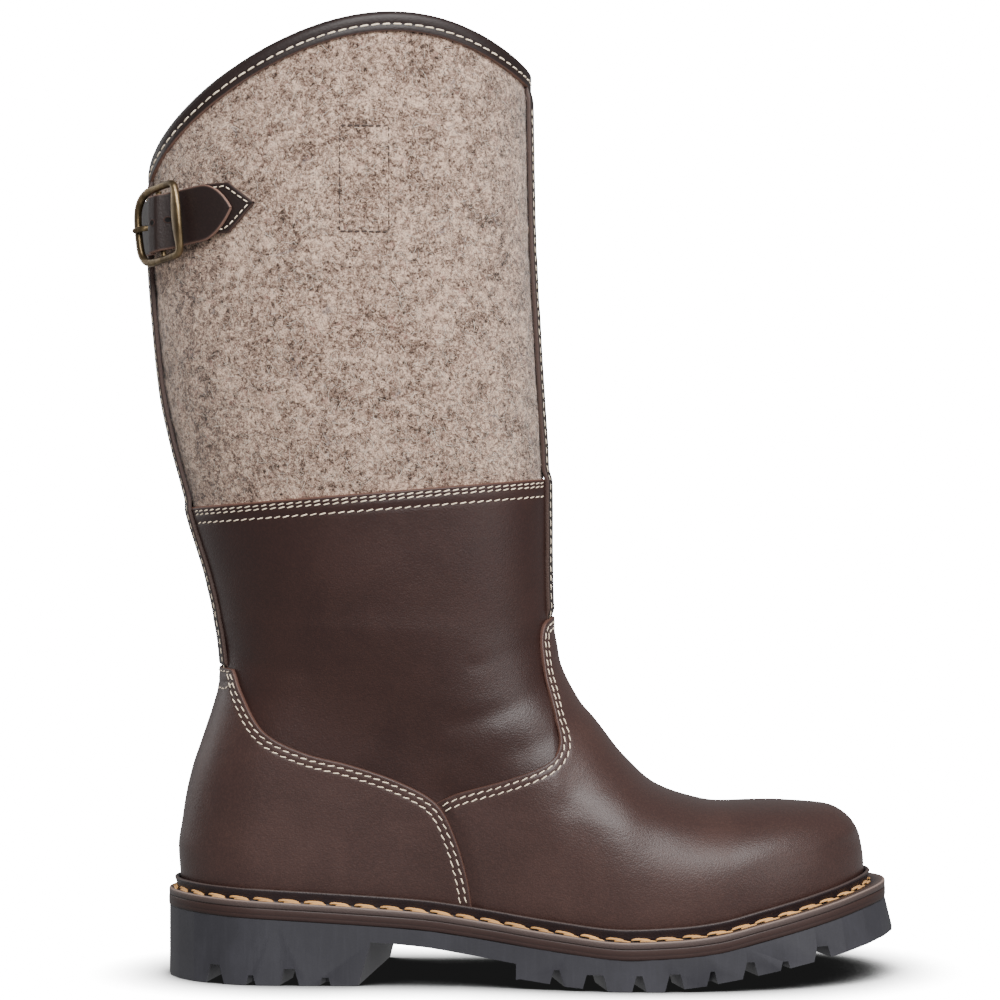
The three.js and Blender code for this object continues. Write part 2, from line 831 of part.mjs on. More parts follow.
// One cross-section of a band that lies on the felt.
function bandSection(distance, lift, thick, half, height) {
  const angle = angleAlong(distance);
  const at = (rise, over) => onShaft(angle, height + rise, FELT_OUT + over);
  return [
    at(-half, lift),
    at(0, lift),
    at(half, lift),
    at(half, lift + thick),
    at(0, lift + thick),
    at(-half, lift + thick),
  ];
}

function strap() {
  const end = STRAP_PATH.at(-1).along;
  const sections = STRAP_PATH.map((row) => {
    const point = clamp((row.along - end + STRAP_TIP) / STRAP_TIP);
    const half = (STRAP_WIDTH / 2) * lerp(1, STRAP_TIP_HALF, point ** 2);
    return bandSection(row.along, row.lift, STRAP_THICK, half, STRAP_LEVEL);
  });
  return sweep(sections, false);
}

// The buckle's own frame: X along the strap, Y up, Z out from the felt.
function buckleFrame() {
  const origin = onShaft(BUCKLE_ANGLE, STRAP_LEVEL, FELT_OUT);
  const ring = ringAt(BUCKLE_ANGLE, STRAP_LEVEL);
  const out = outward(BUCKLE_ANGLE, ring);
  const ahead = onShaft(BUCKLE_ANGLE + 0.02, STRAP_LEVEL, FELT_OUT).sub(origin);
  const up = new THREE.Vector3().crossVectors(out, ahead).normalize();
  ahead.crossVectors(up, out).normalize();
  const matrix = new THREE.Matrix4().makeBasis(ahead, up, out).setPosition(origin);
  return matrix.multiply(new THREE.Matrix4().makeRotationZ(BUCKLE_LEAN));
}

function roundedRectangle(path, width, height, radius) {
  const [x, y] = [width / 2, height / 2];
  path.moveTo(-x + radius, -y);
  path.lineTo(x - radius, -y);
  path.absarc(x - radius, -y + radius, radius, -Math.PI / 2, 0);
  path.lineTo(x, y - radius);
  path.absarc(x - radius, y - radius, radius, 0, Math.PI / 2);
  path.lineTo(-x + radius, y);
  path.absarc(-x + radius, y - radius, radius, Math.PI / 2, Math.PI);
  path.lineTo(-x, -y + radius);
  path.absarc(-x + radius, -y + radius, radius, Math.PI, 1.5 * Math.PI);
  path.closePath();
  return path;
}

function buckleRing() {
  const bevel = 0.7;
  const [wide, tall] = [BUCKLE_WIDTH - 2 * bevel, BUCKLE_TALL - 2 * bevel];
  const shape = roundedRectangle(new THREE.Shape(), wide, tall, BUCKLE_CORNER - bevel);
  const [holeWide, holeTall] = [wide - 2 * BUCKLE_BAR + 4 * bevel, tall - 2 * BUCKLE_BAR + 4 * bevel];
  const corner = BUCKLE_CORNER - BUCKLE_BAR + bevel;
  shape.holes.push(roundedRectangle(new THREE.Path(), holeWide, holeTall, corner));
  const ring = new THREE.ExtrudeGeometry(shape, {
    depth: BUCKLE_DEEP - 2 * bevel,
    bevelThickness: bevel,
    bevelSize: bevel,
    bevelSegments: 1,
    curveSegments: 3,
  });
  ring.translate(0, 0, BUCKLE_LIFT + bevel);
  const pin = new THREE.CylinderGeometry(PIN_RADIUS, PIN_RADIUS, BUCKLE_TALL - BUCKLE_BAR, 8);
  pin.translate(0, 0, PIN_LIFT);
  return geometryOf(solid(ring).add(solid(pin)));
}

function buckleProng() {
  const points = PRONG_PATH.map((row) => new THREE.Vector3(row.along, 0, row.lift));
  const round = new THREE.Shape().absarc(0, 0, PRONG_RADIUS, 0, 2 * Math.PI);
  return new THREE.ExtrudeGeometry(round, {
    extrudePath: new THREE.CatmullRomCurve3(points),
    steps: 6,
    curveSegments: 4,
    bevelEnabled: false,
  });
}

// The pointed tab under the strap, with the loop that holds the buckle's pin.
function strapAnchor(matrix) {
  const sections = TAB_PATH.map((row) => {
    const half = (TAB_WIDTH / 2) * row.half;
    return bandSection(row.along, row.lift, TAB_THICK, half, STRAP_LEVEL + TAB_RAISE * ease(row.along / 20));
  });
  const tall = STRAP_WIDTH - 3;
  const loop = new THREE.CylinderGeometry(LOOP_RADIUS, LOOP_RADIUS, tall, 12);
  const bore = new THREE.CylinderGeometry(PIN_RADIUS + GAP, PIN_RADIUS + GAP, tall + 2, 12);
  for (const piece of [loop, bore]) {
    piece.translate(0, 0, PIN_LIFT);
    piece.applyMatrix4(matrix);
  }
  const joined = solid(sweep(sections, false)).add(solid(loop));
  return geometryOf(joined.subtract(solid(bore)));
}

// Materials, from the photo's colours

function material(color, roughness, metalness = 0) {
  return new THREE.MeshStandardMaterial({ color, roughness, metalness });
}

const LOOKS = {
  leather: () => material(0x46322d, 0.45),
  felt: () => material(0x96877d, 0.95),
  rubber: () => material(0x424248, 0.7),
  brown: () => material(0x4a332b, 0.6),
  board: () => material(0x9a7b5a, 0.85),
  brass: () => material(0x8a7448, 0.4, 0.9),
};

function piece(name, geometry, look) {
  const mesh = new THREE.Mesh(geometry, LOOKS[look]());
  mesh.name = name;
  return mesh;
}

function build() {
  const boot = new THREE.Group();
  const sole = new THREE.Group();
  sole.add(piece("outsole", outsole(), "rubber"));
  sole.add(piece("midsole", midsole(), "brown"));
  sole.add(piece("welt", welt(), "brown"));
  sole.add(piece("insole", insole(), "board"));
  const panels = overlays();
  const shaft = new THREE.Group();
  shaft.add(piece("upper", upper(), "leather"));
  shaft.add(piece("vamp", panels.vamp, "leather"));
  shaft.add(piece("counter", panels.counter, "leather"));
  shaft.add(piece("felt_shaft", feltShaft(), "felt"));
  shaft.add(piece("top_binding", topBinding(), "leather"));
  shaft.add(piece("front_seam", seamStrip(Math.PI, FRONT_STRIP, 11.35), "leather"));
  shaft.add(piece("back_seam", seamStrip(0, BACK_STRIP, 9), "leather"));
  const fastening = new THREE.Group();
  const matrix = buckleFrame();
  fastening.add(piece("strap", strap(), "leather"));
  fastening.add(piece("strap_anchor", strapAnchor(matrix), "leather"));
  const buckle = new THREE.Group();
  buckle.applyMatrix4(matrix);
  buckle.add(piece("buckle_frame", buckleRing(), "brass"));
  buckle.add(piece("buckle_prong", buckleProng(), "brass"));
  fastening.add(buckle);
  boot.add(sole, shaft, fastening);

  // The origin goes to the middle of the bottom of the boot's box.
  const box = new THREE.Box3().setFromObject(boot, true);
  boot.position.set(-(box.min.x + box.max.x) / 2, -(box.min.y + box.max.y) / 2, -box.min.z);
  const part = new THREE.Group();
  part.add(boot);
  return part;
}

export default build();
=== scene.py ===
"""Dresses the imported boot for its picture: leather, felt, welt, sole, stitching, strap and buckle.

Lengths are in millimetres inside the builders, in the part's own drawing frame, and turn into metres
in the row frame when a mesh is made.
"""

import json
import logging
from dataclasses import dataclass, field
from enum import Enum

import bmesh
import bpy
import numpy as np
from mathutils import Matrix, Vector

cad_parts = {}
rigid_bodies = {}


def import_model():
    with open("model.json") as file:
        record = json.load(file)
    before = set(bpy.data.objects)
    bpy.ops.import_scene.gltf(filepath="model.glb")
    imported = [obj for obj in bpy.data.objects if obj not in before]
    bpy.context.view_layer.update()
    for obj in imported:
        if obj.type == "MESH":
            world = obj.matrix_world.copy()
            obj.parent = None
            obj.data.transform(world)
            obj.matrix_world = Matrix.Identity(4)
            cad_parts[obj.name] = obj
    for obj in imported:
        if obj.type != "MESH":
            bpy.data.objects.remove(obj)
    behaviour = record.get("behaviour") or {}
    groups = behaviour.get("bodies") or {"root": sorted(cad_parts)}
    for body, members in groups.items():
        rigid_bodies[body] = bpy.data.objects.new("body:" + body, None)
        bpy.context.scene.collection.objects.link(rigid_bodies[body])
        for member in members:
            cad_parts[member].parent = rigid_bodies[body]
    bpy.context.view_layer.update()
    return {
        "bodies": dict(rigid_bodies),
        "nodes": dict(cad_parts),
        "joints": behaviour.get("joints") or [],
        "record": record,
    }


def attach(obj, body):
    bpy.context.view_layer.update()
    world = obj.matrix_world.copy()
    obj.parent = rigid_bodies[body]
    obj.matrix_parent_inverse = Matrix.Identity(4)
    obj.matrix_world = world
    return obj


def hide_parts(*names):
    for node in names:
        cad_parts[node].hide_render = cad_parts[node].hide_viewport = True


LOG = logging.getLogger("boot")
METRE = 0.001
DRAWING_ORIGIN = np.array([-148.6776, -1.6002, 0.0])  # the drawing's zero, seen from the row frame
FOOT_LENGTH = 292.0
BALL_WIDTH = 98.0
HEEL_MARGIN = 6.0
TOE_MARGIN = 10.5
HEEL_SEAT = 33.5
BALL_SEAT = 17.0
TOE_SEAT = 36.0
ANKLE_RISE = 116.5
SHAFT_RISE = 250.0
SHAFT_WIDTH = 110.0
COLLAR_ARCH = 36.0
TOE_SWING = 9.0
WIDEST_RISE = 16.0
SEAM_RING = 13.0
COLLAR_RING = 16.0

# Depths under the dressed surface
UPPER_OUT = -1.7
UPPER_IN = -3.7
FELT_OUT = -4.0
FELT_IN = -8.5

STRAP_HEIGHT = HEEL_SEAT + ANKLE_RISE + 168.0
STRAP_WIDTH = 22.8
STRAP_THICK = 2.2

# The strap's underside: distance along it from the buckle's pin, and height over the felt.
STRAP_PATH = np.array(
    [
        [-76, 0.3], [-66, 0.3], [-57, 0.3], [-49, 2.1], [-40, 2.1], [-31, 2.1], [-22, 2.1], [-14, 2.3],
        [-8.8, 2.7], [-5, 5.2], [-1.8, 8.0], [1.8, 8.0], [5, 5.2], [8.8, 2.7], [15, 2.6], [22, 2.6],
        [28, 2.6], [34, 2.6],
    ]
)
BUCKLE_ANGLE = 0.54
BUCKLE_DROP = -2.4  # how far the strap sags at the buckle

RING_COLUMNS = ("back", "back_rise", "front", "front_rise", "bed", "leg", "half", "arch")
# One row for each ring of the upper, in the order of RING_COLUMNS, from the feather line to the collar
RING_ROWS = np.array(
    [
        [0.003, 0.003, 0.996, 0.003, 1, 0, 0.38, 0], [-0.001, 0.073, 1.001, 0.077, 1, 0, 0.38, 0],
        [-0.004, 0.176, 0.997, 0.173, 1, 0, 0.38, 0], [0.001, 0.27, 0.986, 0.246, 1, 0, 0.38, 0],
        [0.007, 0.365, 0.957, 0.324, 1, 0, 0.38, 0], [0.016, 0.464, 0.884, 0.388, 1, 0, 0.38, 0],
        [0.031, 0.579, 0.784, 0.448, 1, 0.08, 0.38, 0], [0.046, 0.691, 0.692, 0.539, 1, 0.2, 0.38, 0],
        [0.054, 0.775, 0.634, 0.687, 1, 0.42, 0.38, 0], [0.055, 0.84, 0.591, 0.814, 1, 0.66, 0.38, 0],
        [0.052, 0.927, 0.56, 0.897, 0.7, 0.86, 0.385, 0], [0.047, 1, 0.547, 1.003, 0.35, 1, 0.39, 0],
        [0.034, 1.072, 0.544, 1.064, 0, 1, 0.405, 0], [0.004, 1.188, 0.543, 1.24, 0, 1, 0.436, 0],
        [-0.04, 1.408, 0.535, 1.408, 0, 1, 0.48, 0], [-0.0565, 1.664, 0.5236, 1.664, 0, 1, 0.5, 0],
        [-0.056, 1.76, 0.519, 1.936, 0, 1, 0.5, 1],
    ]
)
# Place along the foot, lateral half width and medial half width as shares of the ball width
PLAN = np.array(
    [
        [0, 0.31, 0.31], [0.16, 0.335, 0.33], [0.33, 0.34, 0.315], [0.45, 0.385, 0.31],
        [0.56, 0.455, 0.38], [0.66, 0.508, 0.46], [0.74, 0.508, 0.482], [1, 0.508, 0.482],
    ]
)
# Place along the foot, drop from heel to ball, rise from ball to toe
BED = np.array(
    [
        [0, 1, 0], [0.15, 0.86, 0], [0.27, 0.73, 0], [0.36, 0.61, 0], [0.44, 0.43, 0], [0.53, 0.2, 0],
        [0.645, 0, 0], [0.715, 0, 0.04], [0.77, 0, 0.13], [0.836, 0, 0.36], [0.908, 0, 0.61],
        [0.945, 0, 0.74], [1, 0, 0.93], [1.03, 0, 1],
    ]
)
# Panel edges in side view, as shares of the foot's length and of the ankle's rise over the heel seat
COUNTER_EDGE = np.array(
    [
        [0.427, -0.06], [0.419, 0.084], [0.4, 0.243], [0.374, 0.356], [0.32, 0.432], [0.253, 0.49],
        [0.186, 0.534], [0.127, 0.61], [0.093, 0.738], [0.082, 0.804], [0.078, 0.826],
    ]
)
VAMP_HIDDEN = np.array([[0.405, -0.06], [0.398, 0.084], [0.38, 0.225], [0.35, 0.328]])
VAMP_EDGE = np.array(
    [
        [0.374, 0.356], [0.405, 0.392], [0.475, 0.443], [0.535, 0.506], [0.553, 0.585], [0.541, 0.715],
        [0.5305, 0.85], [0.528, 0.935], [0.533, 0.99], [0.545, 1.012],
    ]
)


class Side(Enum):
    """Which way a panel lies from its edge."""

    TO_TOE = "to_toe"
    TO_HEEL = "to_heel"


class Thread(Enum):
    """The kinds of sewing thread on the boot."""

    CREAM = "cream"
    DARK = "dark"
    WELT = "welt"


def ease(x: np.ndarray) -> np.ndarray:
    """Smooth step from 0 to 1.

    Args:
        x: values, of which what lies outside 0 to 1 is clamped.

    Returns:
        Values from 0 to 1.
    """
    t = np.clip(x, 0.0, 1.0)
    return t * t * (3 - 2 * t)


def hermite(at: np.ndarray, values: np.ndarray, x: np.ndarray) -> np.ndarray:
    """Smooth curve through a table's rows that never swings past them.

    Its tangent at a row is the harmonic mean of the slopes beside it, or 0 where they differ in sign.

    Args:
        at: places of the rows, rising.
        values: values of the rows.
        x: places to read.

    Returns:
        The curve's values at x.
    """
    span = np.diff(at)
    slope = np.diff(values) / span
    product = slope[:-1] * slope[1:]
    total = slope[:-1] + slope[1:]
    harmonic = np.where(product > 0, 2 * product / np.where(total == 0, 1, total), 0.0)
    tangent = np.concatenate(([slope[0]], harmonic, [slope[-1]]))
    i = np.clip(np.searchsorted(at, x) - 1, 0, len(at) - 2)
    t = np.clip((x - at[i]) / span[i], 0, 1)
    s = ease(t)
    start = t * (1 - t) ** 2 * span[i] * tangent[i]
    end = t * t * (1 - t) * span[i] * tangent[i + 1]
    return values[i] * (1 - s) + values[i + 1] * s + start - end


def along(share: np.ndarray) -> np.ndarray:
    """Place along the boot in millimetres.

    Args:
        share: share of the foot's length from the back of the heel.

    Returns:
        X in the drawing frame.
    """
    return HEEL_MARGIN + share * FOOT_LENGTH


def bed(x: np.ndarray) -> np.ndarray:
    """Height of the midsole's top.

    Args:
        x: places along the boot in millimetres.

    Returns:
        Heights in millimetres.
    """
    share = (x - HEEL_MARGIN) / FOOT_LENGTH
    drop = (HEEL_SEAT - BALL_SEAT) * hermite(BED[:, 0], BED[:, 1], share)
    return BALL_SEAT + drop + (TOE_SEAT - BALL_SEAT) * hermite(BED[:, 0], BED[:, 2], share)


def unit(v: np.ndarray) -> np.ndarray:
    """Vectors of length 1.

    Args:
        v: vectors in the last axis.

    Returns:
        The same directions.
    """
    return v / np.maximum(np.linalg.norm(v, axis=-1, keepdims=True), 1e-12)


def noise(points: np.ndarray, size: float, seed: int) -> np.ndarray:
    """Smooth random values on a lattice in space, from -1 to 1.

    Each lattice corner has a seeded random value, and a point blends its eight corners by smooth steps.

    Args:
        points: points in millimetres in the last axis.
        size: lattice step in millimetres.
        seed: number that fixes the pattern.

    Returns:
        One value for each point.
    """
    table = np.random.default_rng(seed).uniform(-1, 1, 4096)
    grid = np.asarray(points) / size
    low = np.floor(grid).astype(np.int64)
    part = ease(grid - low)
    total = np.zeros(grid.shape[:-1])
    for corner in range(8):
        step = np.array([corner & 1, corner >> 1 & 1, corner >> 2 & 1])
        key = ((low + step) * np.array([73856093, 19349663, 83492791])).sum(-1) & 4095
        weight = np.where(step == 1, part, 1 - part).prod(-1)
        total += weight * table[key]
    return total


def felt_lumps(points: np.ndarray) -> np.ndarray:
    """Unevenness of pressed wool: the sum of three noises of falling size and height.

    Args:
        points: points in millimetres.

    Returns:
        Heights in millimetres.
    """
    return 0.3 * noise(points, 9.0, 11) + 0.22 * noise(points, 3.6, 12) + 0.14 * noise(points, 1.7, 13)


class BootForm:
    """The dressed surface, the outside of vamp, counter and seam strips, by angle and ring.

    Angle 0 is the back and pi the front, with the lateral side between them. Ring 0 is the feather
    line and ring 16 the collar's edge.
    """

    def __init__(self) -> None:
        """Reads the top line over toe and instep, which the foot's sections close at."""
        rings = np.linspace(11.0, 2.0, 901)
        front = along(self.column("front", rings))
        rise = self.rise(self.column("front_rise", rings))
        follow = self.column("bed", rings)
        self.top_x = front
        self.top_z = HEEL_SEAT + rise + follow * (bed(front) - HEEL_SEAT)

    @staticmethod
    def column(name: str, ring: np.ndarray) -> np.ndarray:
        """One column of the ring table.

        Args:
            name: the column's name.
            ring: ring numbers.

        Returns:
            The column's values at these rings.
        """
        values = RING_ROWS[:, RING_COLUMNS.index(name)]
        return hermite(np.arange(len(RING_ROWS), dtype=float), values, ring)

    @staticmethod
    def rise(share: np.ndarray) -> np.ndarray:
        """Height over the heel seat.

        Args:
            share: share of the ankle's rise, and past 1 of the shaft's.

        Returns:
            Millimetres.
        """
        over = ANKLE_RISE + (share - 1) * SHAFT_RISE
        return np.where(share <= 1, share * ANKLE_RISE, over)

    def top(self, x: np.ndarray) -> np.ndarray:
        """Height of the top line, run on upward behind the throat.

        Args:
            x: places along the boot in millimetres.

        Returns:
            Heights in millimetres.
        """
        behind = self.top_z[0] + 2.5 * (self.top_x[0] - x)
        return np.where(x <= self.top_x[0], behind, np.interp(x, self.top_x, self.top_z))

    def foot_half(self, x: np.ndarray, z: np.ndarray, lateral: np.ndarray, back, tip) -> np.ndarray:
        """Half width of the foot: plan width, rounded at heel and toe, closed over the top line.

        Args:
            x: places along the boot.
            z: heights.
            lateral: True on the lateral side.
            back: X of the ring's back end.
            tip: X at which the toe closes.

        Returns:
            Half widths in millimetres.
        """
        share = (x - HEEL_MARGIN) / FOOT_LENGTH
        outer = hermite(PLAN[:, 0], PLAN[:, 1], share)
        inner = hermite(PLAN[:, 0], PLAN[:, 2], share)
        plan = BALL_WIDTH * np.where(lateral, outer, inner)
        start = np.where(lateral, along(0.68), along(0.74))
        heel = 1 - np.clip((x - back) / 36, 0, 1)
        toe = np.clip((x - start) / (tip - start), 0, 1)
        widest = bed(x) + WIDEST_RISE
        over = np.clip((z - widest) / (self.top(x) - widest), 0, 1)
        under = np.clip((widest - z) / WIDEST_RISE, 0, 1)
        ends = np.sqrt(1 - heel**2) * np.sqrt(1 - toe**2.4)
        return plan * ends * (1 - over**2.4) ** (1 / 2.4) * (1 - 0.05 * under**2)

    def side_view(self, t: np.ndarray, ring: np.ndarray, arch: np.ndarray) -> tuple[np.ndarray, ...]:
        """Side view of a ring.

        Args:
            t: place from back, 0, to front, 1.
            ring: ring numbers.
            arch: height that the collar's arch adds.

        Returns:
            X and Z in millimetres.
        """
        back = along(self.column("back", ring))
        front = along(self.column("front", ring))
        x = back + (front - back) * t
        low = self.rise(self.column("back_rise", ring))
        high = self.rise(self.column("front_rise", ring))
        rise = low + (high - low) * t + arch
        return x, HEEL_SEAT + rise + self.column("bed", ring) * (bed(x) - HEEL_SEAT)

    def dressed(self, angle: np.ndarray, ring: np.ndarray) -> np.ndarray:
        """Points of the dressed surface.

        Args:
            angle: angles in radians.
            ring: ring numbers.

        Returns:
            Points in millimetres in the last axis.
        """
        angle, ring = np.broadcast_arrays(np.asarray(angle, float), np.asarray(ring, float))
        t = (1 - np.cos(angle)) / 2
        wide = np.abs(np.sin(angle))
        lateral = np.sin(angle) >= 0
        arch = self.column("arch", ring) * COLLAR_ARCH * wide ** (1.25 + 0.75 * t)
        x, z = self.side_view(t, ring, arch)
        back = along(self.column("back", ring))
        front = along(self.column("front", ring))
        tip = front + (along(RING_ROWS[1, 2]) - front) * ease(ring - 2)
        leg = self.column("leg", ring)
        foot = self.foot_half(x, z, lateral, back, tip)
        half = foot * (1 - leg) + leg * SHAFT_WIDTH * self.column("half", ring) * wide
        swing = np.clip((x - along(0.5)) / (along(1) - along(0.5)), 0, 1)
        middle = (1 - leg) * TOE_SWING * swing**2
        return np.stack([x, middle + np.where(lateral, -half, half), z], -1)

    def outward(self, angle: np.ndarray, ring: np.ndarray) -> np.ndarray:
        """Outward normals, level at the feather line.

        Args:
            angle: angles in radians.
            ring: ring numbers.

        Returns:
            Unit vectors in the last axis.
        """
        angle, ring = np.broadcast_arrays(np.asarray(angle, float), np.asarray(ring, float))
        step = 0.004
        turn = self.dressed(angle + step, ring) - self.dressed(angle - step, ring)
        high = np.minimum(COLLAR_RING, ring + step)
        up = self.dressed(angle, high) - self.dressed(angle, np.maximum(0, ring - step))
        normal = np.cross(turn, up)
        normal[..., 2] *= np.clip(ring, 0, 1)
        return unit(normal)

    def skin(self, angle: np.ndarray, ring: np.ndarray, depth: np.ndarray) -> np.ndarray:
        """Points off the dressed surface.

        Args:
            angle: angles in radians.
            ring: ring numbers.
            depth: distance outward in millimetres, negative inside.

        Returns:
            Points in millimetres.
        """
        return self.dressed(angle, ring) + self.outward(angle, ring) * np.asarray(depth)[..., None]

    def ring_at(self, angle: np.ndarray, height: np.ndarray) -> np.ndarray:
        """Ring number at which the shaft reaches a height, by bisection.

        Args:
            angle: angles in radians.
            height: heights in millimetres.

        Returns:
            Ring numbers from 11 to the collar's.
        """
        angle, height = np.broadcast_arrays(np.asarray(angle, float), np.asarray(height, float))
        low = np.full(angle.shape, SEAM_RING - 2)
        high = np.full(angle.shape, COLLAR_RING)
        for _ in range(24):
            middle = (low + high) / 2
            below = self.dressed(angle, middle)[..., 2] < height
            low = np.where(below, middle, low)
            high = np.where(below, high, middle)
        return (low + high) / 2

    def on_shaft(self, angle: np.ndarray, height: np.ndarray, depth: np.ndarray) -> np.ndarray:
        """Points on the shaft by angle and height.

        Args:
            angle: angles in radians.
            height: heights in millimetres.
            depth: distance outward from the dressed surface.

        Returns:
            Points in millimetres.
        """
        angle, height = np.broadcast_arrays(np.asarray(angle, float), np.asarray(height, float))
        return self.skin(angle, self.ring_at(angle, height), depth)

    def under_collar(self, angle: np.ndarray, drop: np.ndarray) -> tuple[np.ndarray, np.ndarray]:
        """Ring numbers at a distance under the collar's edge, square to it.

        Args:
            angle: angles in radians.
            drop: distance in millimetres.

        Returns:
            The angles and ring numbers.
        """
        angle, drop = np.broadcast_arrays(np.asarray(angle, float), np.asarray(drop, float))
        edge = np.full(angle.shape, COLLAR_RING)
        run = self.dressed(angle + 0.02, edge) - self.dressed(angle - 0.02, edge)
        stretch = np.hypot(1, run[..., 2] / np.hypot(run[..., 0], run[..., 1]))
        height = self.dressed(angle, edge)[..., 2] - drop * stretch
        return angle, self.ring_at(angle, height)

    def locate(self, x: np.ndarray, z: np.ndarray) -> tuple[np.ndarray, np.ndarray]:
        """Finds the lateral surface point with a given side view, by bisection over the rings.

        Args:
            x: X in millimetres.
            z: Z in millimetres.

        Returns:
            Angles from 0 to pi, and ring numbers.
        """
        low = np.zeros(len(x))
        high = np.full(len(x), SEAM_RING)
        for _ in range(40):
            ring = (low + high) / 2
            back = along(self.column("back", ring))
            front = along(self.column("front", ring))
            t = np.clip((x - back) / (front - back), 0, 1)
            below = self.side_view(t, ring, 0.0)[1] < z
            low = np.where(below, ring, low)
            high = np.where(below, high, ring)
        return np.arccos(1 - 2 * t), ring


# Mesh making


def quads(rows: int, columns: int, around: bool = False, over: bool = False) -> np.ndarray:
    """Faces of a lattice of points.

    Args:
        rows: number of rows.
        columns: number of points in each row.
        around: whether each row closes on itself.
        over: whether the last row joins the first.

    Returns:
        One row of four point numbers for each face.
    """
    i = np.arange(rows if over else rows - 1)[:, None]
    j = np.arange(columns if around else columns - 1)[None, :]
    right, up = (j + 1) % columns, (i + 1) % rows
    corners = [i * columns + j, i * columns + right, up * columns + right, up * columns + j]
    return np.stack([np.broadcast_to(c, (i.size, j.size)) for c in corners], -1).reshape(-1, 4)


def make_piece(
    name: str,
    points: np.ndarray,
    faces: np.ndarray,
    material: bpy.types.Material,
    values: dict[str, np.ndarray] | None = None,
) -> bpy.types.Object:
    """Makes a smooth mesh object that rides the boot.

    Args:
        name: the object's name.
        points: points in millimetres, in the drawing frame.
        faces: point numbers, as many for each face.
        material: its finish.
        values: one number for each point, by attribute name.

    Returns:
        The new object.
    """
    flat = (points.reshape(-1, 3) + DRAWING_ORIGIN) * METRE
    mesh = bpy.data.meshes.new(name)
    mesh.vertices.add(len(flat))
    mesh.vertices.foreach_set("co", flat.astype(np.float32).ravel())
    sides = faces.shape[1]
    mesh.loops.add(faces.size)
    mesh.loops.foreach_set("vertex_index", faces.astype(np.int32).ravel())
    mesh.polygons.add(len(faces))
    mesh.polygons.foreach_set("loop_start", np.arange(0, faces.size, sides, dtype=np.int32))
    mesh.update(calc_edges=True)
    mesh.polygons.foreach_set("use_smooth", np.ones(len(faces), dtype=bool))
    for key, numbers in (values or {}).items():
        layer = mesh.attributes.new(key, "FLOAT", "POINT")
        layer.data.foreach_set("value", numbers.astype(np.float32).ravel())
    mesh.materials.append(material)
    piece = bpy.data.objects.new(name, mesh)
    bpy.context.scene.collection.objects.link(piece)
    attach(piece, "root")
    LOG.info("%s: %d faces", name, len(faces))
    return piece


def resample(points: np.ndarray, *values: np.ndarray, step: float) -> list[np.ndarray]:
    """Spaces a line's points evenly by its length.

    Args:
        points: points along the line.
        values: more values along the same line.
        step: distance between the new points, in the points' unit.

    Returns:
        The new points, and the values at them.
    """
    length = np.concatenate(([0.0], np.cumsum(np.linalg.norm(np.diff(points, axis=0), axis=1))))
    wanted = np.linspace(0, length[-1], max(2, int(round(length[-1] / step)) + 1))
    lines = [points, *values]
    return [
        np.interp(wanted, length, line)
        if line.ndim == 1
        else np.stack([np.interp(wanted, length, line[:, k]) for k in range(line.shape[1])], -1)
        for line in lines
    ]


def spline(points: np.ndarray, steps: int = 12) -> np.ndarray:
    """Curve through points, with each tangent half the way between a point's neighbours.

    Args:
        points: points to pass through.
        steps: new points in each stretch.

    Returns:
        Points along the curve.
    """
    padded = np.concatenate((points[:1], points, points[-1:]))
    t = np.linspace(0, 1, steps, endpoint=False)[:, None]
    parts = []
    for a, b, c, d in zip(padded, padded[1:], padded[2:], padded[3:]):
        start, end = (c - a) / 2, (d - b) / 2
        cubic = (2 * b - 2 * c + start + end) * t**3
        parts.append(cubic + (3 * c - 3 * b - 2 * start - end) * t**2 + start * t + b)
    return np.concatenate([*parts, points[-1:]])


def edge_line(rows: np.ndarray) -> np.ndarray:
    """A panel edge in side view, in millimetres.

    Args:
        rows: shares of the foot's length and of the ankle's rise.

    Returns:
        X and Z along the edge.
    """
    return np.stack([along(rows[:, 0]), HEEL_SEAT + rows[:, 1] * ANKLE_RISE], -1)


def line_distance(points: np.ndarray, line: np.ndarray) -> np.ndarray:
    """Signed distance to a line in a plane, positive on its right-hand side.

    Args:
        points: points with two coordinates in the last axis.
        line: points along the line.

    Returns:
        Distances in the same unit.
    """
    best = np.full(points.shape[:-1], np.inf)
    sign = np.ones(points.shape[:-1])
    for a, b in zip(line, line[1:]):
        run = b - a
        t = np.clip(((points - a) @ run) / (run @ run), 0, 1)
        gap = points - (a + t[..., None] * run)
        distance = np.hypot(gap[..., 0], gap[..., 1])
        nearer = distance < best
        best = np.where(nearer, distance, best)
        cross = run[0] * gap[..., 1] - run[1] * gap[..., 0]
        sign = np.where(nearer, np.where(cross <= 0, 1.0, -1.0), sign)
    return best * sign


# Finishes


def linear(code: int) -> tuple[float, float, float, float]:
    """Colour of a hexadecimal code in the renderer's linear light.

    Args:
        code: red, green and blue, two hexadecimal digits each.

    Returns:
        Red, green, blue and alpha.
    """
    parts = [(code >> shift & 255) / 255 for shift in (16, 8, 0)]
    red, green, blue = (p / 12.92 if p <= 0.04045 else ((p + 0.055) / 1.055) ** 2.4 for p in parts)
    return red, green, blue, 1.0


